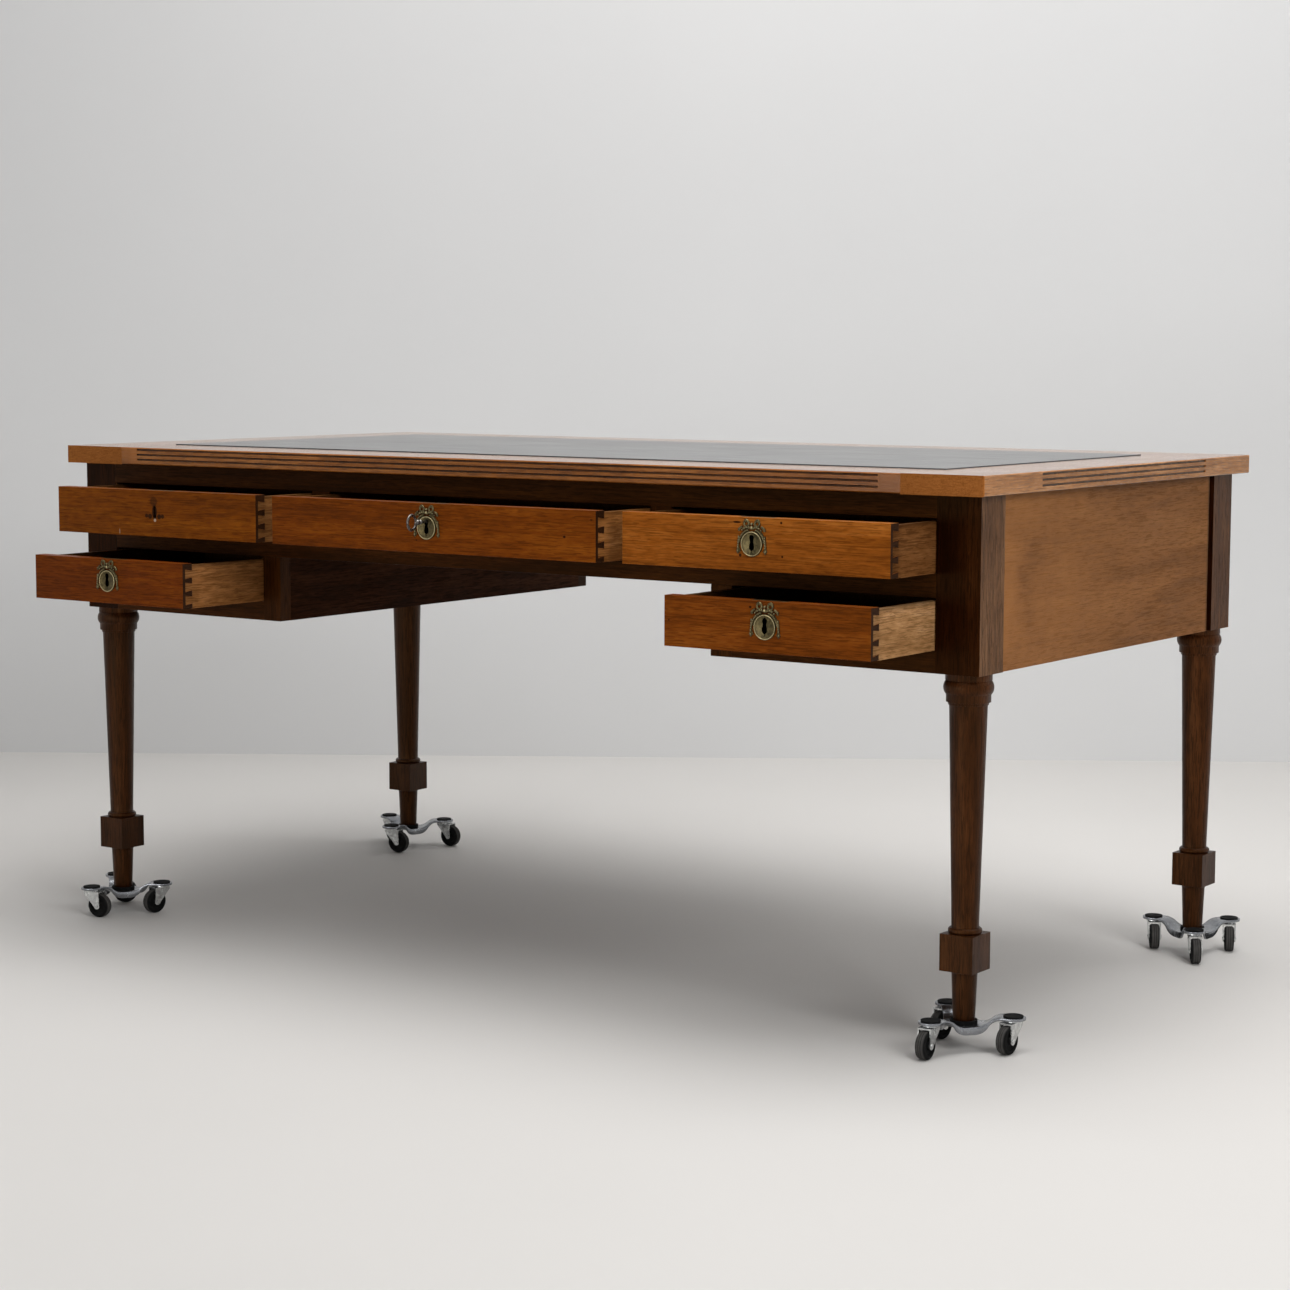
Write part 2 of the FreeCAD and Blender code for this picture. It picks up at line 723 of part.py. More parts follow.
def lock_bolt(size):
    """The bolt, drawn back level with the top of its drawer front."""
    name = f"{size.name}_bolt"
    middle = "front_thick - lock_depth / 2"
    across = ("-bolt_width / 2", "bolt_width / 2")
    along = (f"{middle} - bolt_thick / 2", f"{middle} + bolt_thick / 2")
    heights = (f"{size.key_height} + bit_reach + bit_clear", f"{size.height} - bolt_clear")
    return slab(name, across, along, heights)


def ring_sector(name, outer, width, thick, sweep, start):
    """A flat curved band about the middle of a key plate, standing on the drawer front."""
    whole = doc.addObject("Part::Cylinder", f"{name}_outer")
    core = doc.addObject("Part::Cylinder", f"{name}_inner")
    for bar, radius in ((whole, outer), (core, f"{outer} - {width}")):
        bind(bar, "Radius", radius)
        bind(bar, "Height", thick)
        bar.Angle = sweep
        turn = FreeCAD.Rotation(Vector(0, 0, 1), start)
        bar.Placement = FreeCAD.Placement(Vector(), FreeCAD.Rotation(Vector(1, 0, 0), 90) * turn)
    return cut(name, whole, core)


def escutcheon():
    """The brass key plate about its middle: rimmed disc, ribbon bow on top, a hanging tail each side."""
    disc = rod_along_depth("plate_disc", "plate_radius", "-plate_thick", "0")
    rim_outer = rod_along_depth("rim_outer", "plate_radius", "-rim_proud", "0")
    rim_inner = rod_along_depth("rim_inner", "plate_radius - rim_width", "-rim_proud - overrun", "overrun")
    pieces = [disc, cut("rim", rim_outer, rim_inner)]
    pieces.append(rod_along_depth("knot", "knot_radius", "-rim_proud", "0", z="knot_rise"))
    for word, side, start in (("right", 1, TAIL_START_RIGHT), ("left", -1, TAIL_START_LEFT)):
        across = f"{side} * loop_spread"
        loop = rod_along_depth(f"loop_{word}", "loop_radius", "-rim_proud", "0", across, "loop_rise")
        hole_radius = "loop_radius - loop_width"
        hole = rod_along_depth(
            f"loop_hole_{word}", hole_radius, "-rim_proud - overrun", "overrun", across, "loop_rise"
        )
        pieces.append(cut(f"bow_{word}", loop, hole))
        tail = ring_sector(f"tail_{word}", "tail_radius", "tail_width", "rim_proud", TAIL_SWEEP, start)
        pieces.append(tail)
    plate = fuse("key_plate_blank", *pieces)
    return cut("key_plate", plate, keyhole("plate", "plate_drop", "-rim_proud - overrun", "overrun"))


def key_piece(size):
    """The steel key in the lock: ring bow, collar below it, shank and bit, about the key axis."""
    tip = "front_thick - lock_wall - lock_clear - bit_clear"
    bow_middle = "-(shank_proud + bow_radius)"
    bow_disc = rod("bow_disc", "bow_radius", "bow_wire", ("-bow_wire / 2", bow_middle, "0"), *ACROSS)
    finger = "bow_radius - bow_wire"
    bow_hole = rod("bow_hole", finger, "2 * bow_wire", ("-bow_wire", bow_middle, "0"), *ACROSS)
    bow = cut("key_bow", bow_disc, bow_hole)
    shank = rod_along_depth("key_shank", "shank_radius", "-shank_proud - bow_wire / 2", tip)
    collar_top = "-(shank_proud - collar_gap)"
    collar = rod_along_depth("key_collar", "collar_wide", collar_top, f"{collar_top} + collar_long")
    half = "bit_thick / 2"
    bit_front = "front_thick - lock_depth + lock_wall + bit_clear"
    bit = slab("key_bit", (f"-{half}", half), (bit_front, tip), ("-bit_reach", "0"))
    return fuse("key_solid", bow, shank, collar, bit)


def build_drawers():
    """Five drawers at the front, standing open by their own amounts, and five shut at the back."""
    upper_width = f"({POST_INNER} - {DIVIDER_OUTER})"
    lower_width = f"({POST_INNER} - {STILE_OUTER})"
    upper = DrawerSize("upper", upper_width, "upper_opening")
    centre = DrawerSize("centre", "centre_opening", "upper_opening")
    lower = DrawerSize("lower", lower_width, "lower_opening")
    made = {size.name: drawer_pieces(size) for size in (upper, centre, lower)}
    cases = {size.name: lock_case(size) for size in (upper, centre, lower)}
    plate = escutcheon()
    for word, size, x, floor in (
        ("upper_left", upper, f"-{UPPER_SIDE_X}", UPPER_FLOOR),
        ("upper_centre", centre, "0", UPPER_FLOOR),
        ("upper_right", upper, UPPER_SIDE_X, UPPER_FLOOR),
        ("lower_left", lower, f"-{LOWER_SIDE_X}", LOWER_FLOOR),
        ("lower_right", lower, LOWER_SIDE_X, LOWER_FLOOR),
    ):
        front, box = made[size.name]
        bottom = f"{floor} + front_gap"
        at = (x, f"{MIDDLE} - {CASE_FACE} - open_{word}", bottom)
        node(f"drawer_front_{word}", [front], at)
        node(f"drawer_box_{word}", box, at)
        lock = [cases[size.name]]
        if word != "upper_left":
            lock.append(group(f"plate_{word}", [plate], ("0", "0", f"{size.key_height} - plate_drop")))
        node(f"lock_{word}", lock, at)
        if word == "upper_centre":
            on_axis = (at[0], at[1], f"{bottom} + {size.key_height}")
            node("key", [key_piece(size)], on_axis)
            node("lock_bolt", [lock_bolt(size)], at)
        back_at = (x, f"{MIDDLE} + {CASE_FACE}", bottom)
        node(f"back_drawer_{word}", [front, *box, cases[size.name]], back_at, "180")


def press_form(name, dish, arm):
    """The space under the pressed sheet: level at the dish, with an S bend up to a level end on each arm."""
    body = doc.addObject("PartDesign::Body", name)
    reach = "(swivel_radius + 2 * arm_end_radius)"
    half_run = "((arm_flat_radius - dish_radius) / 2)"
    half_rise = f"((({arm}) - ({dish})) / 2)"
    middle = ("(arm_flat_radius + dish_radius) / 2", f"(({arm}) + ({dish})) / 2")
    bend = f"({half_run}^2 + {half_rise}^2) / (2 * {half_rise})"
    corners = [
        ("-waist_radius", "0"),
        (reach, "0"),
        (reach, arm),
        ("arm_flat_radius", arm),
        middle,
        ("dish_radius", dish),
        ("-waist_radius", dish),
    ]
    rounds = {3: (bend, 1), 4: (bend, -1)}
    profile = outline(body, f"{name}_profile", "XZ_Plane", corners, rounds)
    pad(body, f"{name}_bend", profile, "4 * waist_radius", symmetric=True)
    others = [group(f"{name}_turned_{turn}", [body], turn=turn) for turn in ("120", "240")]
    return fuse(f"{name}_space", body, *others)


def star(name, inset):
    """An upright prism over the three-armed outline, drawn in from its edge by an inset.

    The edge runs round each arm's end and along a hollow curve to the waist between two arms.
    """
    body = doc.addObject("PartDesign::Body", name)
    end = f"(arm_end_radius - {inset})"
    waist = f"(waist_radius - {inset})"
    lack = f"({end} - {waist})"
    far = f"((swivel_radius^2 - {lack}^2) / (swivel_radius + 2 * {lack}))"
    hollow = f"({far} - {waist})"
    span = f"({hollow} + {end})"
    along = f"(swivel_radius + {end} * ({far} * cos(60) - swivel_radius) / {span})"
    across = f"({end} * {far} * sin(60) / {span})"
    arm_points = [
        (along, f"-{across}"),
        (f"(swivel_radius + {end})", "0"),
        (along, across),
        (f"({waist} * cos(60))", f"({waist} * sin(60))"),
    ]
    corners = []
    rounds = {}
    for count in range(3):
        angle = f"({count} * 120)"
        for radius, side in ((end, 1), (end, 1), (hollow, -1), (hollow, -1)):
            x, y = arm_points[len(corners) % len(arm_points)]
            rounds[len(corners)] = (radius, side)
            corners.append((f"{x} * cos{angle} - {y} * sin{angle}", f"{x} * sin{angle} + {y} * cos{angle}"))
    profile = outline(body, f"{name}_profile", "XY_Plane", corners, rounds)
    pad(body, f"{name}_prism", profile, "arm_top + overrun")
    return body


def common(name, base, tool):
    """What two shapes share."""
    result = doc.addObject("Part::Common", name)
    result.Base = base
    result.Tool = tool
    return result


def dolly_plate():
    """The pressed plate: three bent arms, a rim turned down that dies to a lip along them, three stem holes."""
    under_arm = "arm_top - gauge"
    whole = common("plate_block", press_form("over", "dish_top", "arm_top"), star("plate_outline", "0"))
    under = press_form("under", "dish_top - gauge", under_arm)
    hollow = common("plate_hollow", under, star("plate_inside", "gauge"))
    below = press_form("below", "dish_top - rim_depth", f"{under_arm} - lip_depth")
    holes = []
    for count in range(3):
        angle = f"({count} * 120)"
        at = (f"swivel_radius * cos{angle}", f"swivel_radius * sin{angle}", "0")
        holes.append(rod(f"stem_hole_{count}", "stem_radius + shaft_clear", "arm_top + overrun", at))
    return cut("pressed_plate", whole, below, hollow, *holes)


def dolly_rubbers():
    """The mat under the foot and the three discs on the arm ends of one dolly."""
    pieces = [rod("foot_mat", "mat_radius", "foot_seat - dish_top", ("0", "0", "dish_top"))]
    for count in range(3):
        angle = f"{count} * 120"
        at = (f"swivel_radius * cos({angle})", f"swivel_radius * sin({angle})", "arm_top")
        pieces.append(rod(f"arm_pad_{count}", "pad_radius", "pad_thick", at))
    return pieces


def castor_fork():
    """The fork under one arm: crown, two tapering cheeks, race and stem, with its axle riveted in."""
    body = doc.addObject("PartDesign::Body", "fork_cheeks")
    race_top = "(arm_top - gauge - swivel_clear)"
    crown_top = f"({race_top} - race_height)"
    low = "cheek_radius * sin(15)"
    side = "cheek_radius * cos(15)"
    corners = [
        ("-crown_front", crown_top),
        ("-crown_front", f"{crown_top} - 2 * crown_thick"),
        (f"trail - {side}", f"wheel_radius - {low}"),
        (f"trail + {side}", f"wheel_radius - {low}"),
        ("trail + crown_back", f"{crown_top} - 2 * crown_thick"),
        ("trail + crown_back", crown_top),
    ]
    inner = "(wheel_width / 2 + wheel_clear)"
    outer = f"({inner} + cheek_thick)"
    cheeks = outline(body, "cheek_profile", "XZ_Plane", corners, {2: ("cheek_radius", 1)})
    pad(body, "cheeks", cheeks, f"2 * {outer}", symmetric=True)
    reach = "(trail + wheel_radius)"
    under_crown = ("0", f"{crown_top} - crown_thick")
    slot = slab("wheel_slot", (f"-{reach}", reach), (f"-{inner}", inner), under_crown)
    race = rod("race", "race_radius", "race_height", ("0", "0", crown_top))
    stem = rod("stem", "stem_radius", f"gauge + {race_top} - {crown_top}", ("0", "0", crown_top))
    axle_low = f"-{outer} - axle_head"
    axle = rod_along_depth("axle", "axle_radius", axle_low, f"{outer} + axle_head", "trail", "wheel_radius")
    return fuse("fork", cut("fork_frame", body, slot), race, stem, axle)


def castor_wheel():
    """The wheel about its own Y axis: bore, hub, a web recessed on both sides, and the tyre."""
    body = doc.addObject("PartDesign::Body", "castor_wheel")
    half = "wheel_width / 2"
    web = f"({half} - web_recess)"
    bore = "(axle_radius + shaft_clear)"
    tyre = "(wheel_radius - tyre_depth)"
    upper = [
        (bore, half),
        ("hub_radius", half),
        ("hub_radius", web),
        (tyre, web),
        (tyre, half),
        ("wheel_radius", half),
    ]
    corners = upper + [(x, f"-({y})") for x, y in reversed(upper)]
    revolve(body, "wheel_turning", outline(body, "wheel_profile", "XY_Plane", corners))
    return body


def build_dollies():
    """Four dollies, each with a plate, rubbers and three castors."""
    plate = dolly_plate()
    rubbers = dolly_rubbers()
    fork = castor_fork()
    wheel = castor_wheel()
    plates = []
    mats = []
    for corner, across, along in CORNERS:
        turn = f"turn_{corner}"
        axis = (f"{across} * {LEG_X}", f"{along} * {LEG_Y}", "0")
        plates.append(group(f"plate_{corner}", [plate], axis, turn))
        mats.append(group(f"rubbers_{corner}", rubbers, axis, turn))
        for count, way in enumerate(TRAILS[corner]):
            angle = f"({turn} + {count} * 120)"
            swivel_x = f"{axis[0]} + swivel_radius * cos{angle}"
            swivel_y = f"{MIDDLE} + {axis[1]} + swivel_radius * sin{angle}"
            name = f"{corner}_{count + 1}"
            node(f"castor_fork_{name}", [fork], (swivel_x, swivel_y, "0"), str(way))
            hub = (f"{swivel_x} + trail * cos({way})", f"{swivel_y} + trail * sin({way})", "wheel_radius")
            node(f"castor_wheel_{name}", [wheel], hub, str(way))
    node("dolly_plates", plates)
    node("dolly_rubbers", mats)


def check_model():
    """Stop if any object failed or any sub-part has no sound solid."""
    doc.recompute()
    for thing in doc.Objects:
        if "Invalid" in thing.State or "Error" in thing.State:
            raise RuntimeError(f"{thing.Name} failed: {thing.State}")
    for held in nodes:
        if held.Shape.isNull() or not held.Shape.isValid() or not held.Shape.Solids:
            raise RuntimeError(f"{held.Label} has no sound solid")


def write_parts():
    """Write each sub-part to its own file."""
    os.makedirs("parts", exist_ok=True)
    for held in nodes:
        held.Shape.exportStep(f"parts/{held.Label}.step")


def main():
    write_sizes()
    build_legs()
    build_top()
    build_side_panels()
    build_frame()
    build_inner_boards()
    build_drawers()
    build_dollies()
    check_model()
    write_parts()
    print(f"{len(nodes)} sub-parts, {sum(len(held.Shape.Solids) for held in nodes)} solids")


main()
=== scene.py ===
import json
import logging
import math
from collections.abc import Callable, Iterable
from dataclasses import dataclass, replace
from enum import Enum

import bmesh
import bpy
from mathutils import Matrix, Vector


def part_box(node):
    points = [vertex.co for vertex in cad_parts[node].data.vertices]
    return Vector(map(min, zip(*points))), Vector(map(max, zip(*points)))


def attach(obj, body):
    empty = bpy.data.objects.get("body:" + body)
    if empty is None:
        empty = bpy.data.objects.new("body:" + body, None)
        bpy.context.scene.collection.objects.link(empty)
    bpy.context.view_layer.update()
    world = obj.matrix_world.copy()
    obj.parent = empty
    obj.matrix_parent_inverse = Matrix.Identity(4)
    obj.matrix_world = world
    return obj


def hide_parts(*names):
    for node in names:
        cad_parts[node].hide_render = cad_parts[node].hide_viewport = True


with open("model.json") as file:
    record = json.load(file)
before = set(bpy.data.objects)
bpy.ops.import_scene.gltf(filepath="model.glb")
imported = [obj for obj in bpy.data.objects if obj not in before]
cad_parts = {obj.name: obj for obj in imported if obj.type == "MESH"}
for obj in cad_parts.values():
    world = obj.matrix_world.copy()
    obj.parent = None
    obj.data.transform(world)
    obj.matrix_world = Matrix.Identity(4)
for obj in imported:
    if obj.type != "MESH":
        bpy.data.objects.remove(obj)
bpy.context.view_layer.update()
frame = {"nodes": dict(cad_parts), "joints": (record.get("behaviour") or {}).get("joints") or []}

log = logging.getLogger("partners_desk")

Colour = tuple[float, float, float]
Point = tuple[float, float, float]
Chooser = Callable[[Vector, Vector], bpy.types.Material]
FRONT_WORDS = ("upper_left", "upper_centre", "upper_right", "lower_left", "lower_right")
CORNERS = ("front_left", "front_right", "back_left", "back_right")
MM = 0.001
# A face whose normal has more than this share along an axis faces that way.
FACING = 0.7
# Corners of a CAD mesh that lie closer than this are one, in metres.
WELD_REACH = 0.00001
# An edge of a new piece that turns by more than this is drawn sharp, in degrees.
SHOWN_TURN = 38.0


class Grain(Enum):
    """The way that a board's fibres run, as a place in (x, y, z)."""

    LENGTH = 0
    DEPTH = 1
    UPRIGHT = 2


class Proud(Enum):
    """The way that places stand out which wear bright, pale or carry a painted highlight: up from a plate, or
    out from an axle.
    """

    UP = "up"
    OUT = "out"


class Value:
    """A shader socket. Python's operators on it add Math nodes."""

    def __init__(self, paint: "Paint", socket: bpy.types.NodeSocket) -> None:
        """Hold one output socket of a material."""
        self.paint = paint
        self.socket = socket

    def math(self, operation: str, first: "Value | float", second: "Value | float" = 0.0) -> "Value":
        """Add one Math node.

        Args:
            operation: The node's operation.
            first: Its first value or socket.
            second: Its second value or socket.

        Returns:
            The node's result.
        """
        return self.paint.node("ShaderNodeMath", {"operation": operation}, {0: first, 1: second})

    def __add__(self, other: "Value | float") -> "Value":
        """self + other."""
        return self.math("ADD", self, other)

    __radd__ = __add__

    def __sub__(self, other: "Value | float") -> "Value":
        """self - other."""
        return self.math("SUBTRACT", self, other)

    def __rsub__(self, other: "Value | float") -> "Value":
        """other - self."""
        return self.math("SUBTRACT", other, self)

    def __mul__(self, other: "Value | float") -> "Value":
        """self * other."""
        return self.math("MULTIPLY", self, other)

    __rmul__ = __mul__

    def __truediv__(self, other: "Value | float") -> "Value":
        """self / other."""
        return self.math("DIVIDE", self, other)

    def __rtruediv__(self, other: "Value | float") -> "Value":
        """other / self."""
        return self.math("DIVIDE", other, self)

    def __pow__(self, other: "Value | float") -> "Value":
        """self ** other."""
        return self.math("POWER", self, other)

    def __abs__(self) -> "Value":
        """The size without its sign."""
        return self.math("ABSOLUTE", self)

    def at_least(self, other: "Value | float") -> "Value":
        """The larger of the two."""
        return self.math("MAXIMUM", self, other)

    def at_most(self, other: "Value | float") -> "Value":
        """The smaller of the two."""
        return self.math("MINIMUM", self, other)

    def step(self, low: float, high: float) -> "Value":
        """A smooth rise from 0 at low to 1 at high."""
        settings = {"interpolation_type": "SMOOTHSTEP"}
        return self.paint.node("ShaderNodeMapRange", settings, {0: self, 1: low, 2: high, 3: 0.0, 4: 1.0})


class Paint:
    """The nodes of one material or world under construction."""

    def __init__(self, holder: bpy.types.Material | bpy.types.World) -> None:
        """Start on a new material or world, with its first shader on its output.

        Args:
            holder: The material or world.
        """
        holder.use_nodes = True
        self.tree = holder.node_tree
        self.output = self.tree.get_output_node("ALL")
        self.shader = self.output.inputs[0].links[0].from_node

    def node(
        self, kind: str, settings: dict | None = None, inputs: dict | None = None, output: int | str = 0
    ) -> Value:
        """Add any node.

        Args:
            kind: The node's type.
            settings: Its own settings, set first; "stops" fills a ramp with (place, colour) pairs.
            inputs: Values or links for its sockets, by place or name.
            output: The output that is handed back, by place or name.

        Returns:
            That output.
        """
        made = self.tree.nodes.new(kind)
        for key, value in (settings or {}).items():
            if key == "stops":
                self.fill_ramp(made.color_ramp, value)
            else:
                setattr(made, key, value)
        for key, value in (inputs or {}).items():
            self.feed(made.inputs[key], value)
        return Value(self, made.outputs[output])

    def fill_ramp(self, ramp: bpy.types.ColorRamp, stops: Iterable[tuple[float, Colour]]) -> None:
        """Put stops on a ramp that still has its first two.

        Args:
            ramp: The ramp.
            stops: Pairs of place and colour.
        """
        for index, (place, colour) in enumerate(stops):
            stop = ramp.elements[index] if index < 2 else ramp.elements.new(place)
            stop.position = place
            stop.color = (*colour, 1.0)

    def feed(self, socket: bpy.types.NodeSocket, value: "Value | float | Iterable[float]") -> None:
        """Link a socket to a value, or set it.

        Args:
            socket: The socket.
            value: Another node's output, or a number, vector or colour.
        """
        if isinstance(value, Value):
            self.tree.links.new(value.socket, socket)
        elif socket.type == "RGBA" and len(value) == 3:
            socket.default_value = (*value, 1.0)
        else:
            socket.default_value = value

    def set(self, **sockets: "Value | float | Colour") -> None:
        """Feed the first shader.

        Args:
            sockets: Its sockets by name, in lower case and with underscores for spaces.
        """
        names = {socket.name.lower().replace(" ", "_"): socket for socket in self.shader.inputs}
        for name, value in sockets.items():
            self.feed(names[name], value)

    def place(self) -> Value:
        """Where a point lies in the desk's own frame, in metres."""
        return self.node("ShaderNodeTexCoord", output="Object")

    def split(self, vector: Value) -> tuple[Value, Value, Value]:
        """The three parts of a vector."""
        first = self.node("ShaderNodeSeparateXYZ", inputs={0: vector})
        return tuple(Value(self, socket) for socket in first.socket.node.outputs)

    def stretch(self, vector: Value, scale: Point, turn: Point = (0, 0, 0)) -> Value:
        """The vector turned and then scaled along each axis."""
        return self.node("ShaderNodeMapping", inputs={"Vector": vector, "Rotation": turn, "Scale": scale})

    def noise(self, vector: Value, scale: float = 1.0, detail: float = 2.0, warp: float = 0.0) -> Value:
        """Soft noise between 0 and 1."""
        inputs = {"Vector": vector, "Scale": scale, "Detail": detail, "Distortion": warp}
        return self.node("ShaderNodeTexNoise", inputs=inputs)

    def attribute(self, name: str) -> Value:
        """A number that the mesh carries at each vertex."""
        return self.node("ShaderNodeAttribute", {"attribute_name": name}, output="Fac")

    def ramp(self, value: Value, *stops: tuple[float, Colour]) -> Value:
        """A colour from a value."""
        return self.node("ShaderNodeValToRGB", {"stops": stops}, {0: value})

    def mix(self, share: Value | float, first: Value | Colour, second: Value | Colour) -> Value:
        """A colour between two, by share."""
        return self.node("ShaderNodeMix", {"data_type": "RGBA"}, {0: share, 6: first, 7: second}, output=2)

    def bump(self, height: Value, strength: float, distance: float) -> Value:
        """A normal from a height."""
        inputs = {"Height": height, "Strength": strength, "Distance": distance}
        return self.node("ShaderNodeBump", inputs=inputs)

    def seen(self) -> Value:
        """Tell the rays that show a thing from those that only carry its light.

        Returns:
            1 for a ray that looks at it, mirrors it or passes through glass to it, else 0.
        """
        kinds = ("Is Camera Ray", "Is Glossy Ray", "Is Transmission Ray")
        camera, glossy, through = (self.node("ShaderNodeLightPath", output=kind) for kind in kinds)
        return (camera + glossy + through).at_most(1.0)


@dataclass(frozen=True)
class Mark:
    """A stain, nail hole, knot or patch of painted shade on an upright board, at x and z, with half sizes,
    all in metres.
    """

    x: float
    z: float
    half_x: float
    half_z: float
    strength: float = 1.0

    def spot(self, x: Value, z: Value) -> Value:
        """How strongly a point is marked, from 0 to the mark's strength."""
        reach = ((x - self.x) / self.half_x) ** 2.0 + ((z - self.z) / self.half_z) ** 2.0
        return (1.0 - reach).at_least(0.0).step(0.0, 0.7) * self.strength


@dataclass(frozen=True)
class DirtAndPaintedLight:
    """A band that fades away from a plane across one axis, in metres: it serves for dirt, painted shade and
    painted light.
    """

    axis: Grain
    at: float
    reach: float
    strength: float

    def spot(self, place: tuple[Value, Value, Value]) -> Value:
        """How strongly a point is marked, from the strength at the plane to 0 at the reach."""
        away = abs(place[self.axis.value] - self.at)
        return (1.0 - away.step(0.0, self.reach)) * self.strength


@dataclass(frozen=True)
class Reeds:
    """Where the top's edges lie, so that painted shade can darken their grooves. Metres."""

    half_length: float
    half_depth: float
    middle_y: float
    top: float
    groove: tuple[float, float] = (0.0003, 0.0011)
    lip: tuple[float, float] = (0.0008, 0.0016)

    def spot(self, place: tuple[Value, Value, Value]) -> Value:
        """How deep in a groove a point lies.

        Args:
            place: The point's three parts.

        Returns:
            From 0 on the edge's face to 1 in a groove.
        """
        x, y, z = place
        face = (abs(x) - self.half_length).at_least(abs(y - self.middle_y) - self.half_depth)
        return (0.0 - face).step(*self.groove) * (self.top - z).step(*self.lip)


@dataclass(frozen=True)
class CornerBlock:
    """The plain ends of the top's long edges, browner than the reeds between them. Metres."""

    reed_end: float
    half_depth: float
    middle_y: float
    dark: Colour
    light: Colour
    joint: float = 0.0008
    skin: tuple[float, float] = (-0.002, -0.001)

    def spot(self, place: tuple[Value, Value, Value]) -> Value:
        """Whether a point lies on a plain end of a long edge.

        Args:
            place: The point's three parts.

        Returns:
            1 there, else 0.
        """
        x, y, _ = place
        past_reeds = (abs(x) - self.reed_end).step(0.0, self.joint)
        return past_reeds * (abs(y - self.middle_y) - self.half_depth).step(*self.skin)


@dataclass(frozen=True)
class Finish:
    """What every finish has: a name, and a material that is made once."""

    name: str

    def material(self) -> bpy.types.Material:
        """The finish as a material.

        Returns:
            The material, made at the first call.
        """
        made = bpy.data.materials.get(self.name)
        if made is None:
            made = bpy.data.materials.new(self.name)
            paint = Paint(made)
            self.lay(paint, paint.place())
        return made

    def lay(self, paint: Paint, place: Value) -> None:
        """Lay the finish on a new material; each kind of finish has its own way."""
        raise NotImplementedError


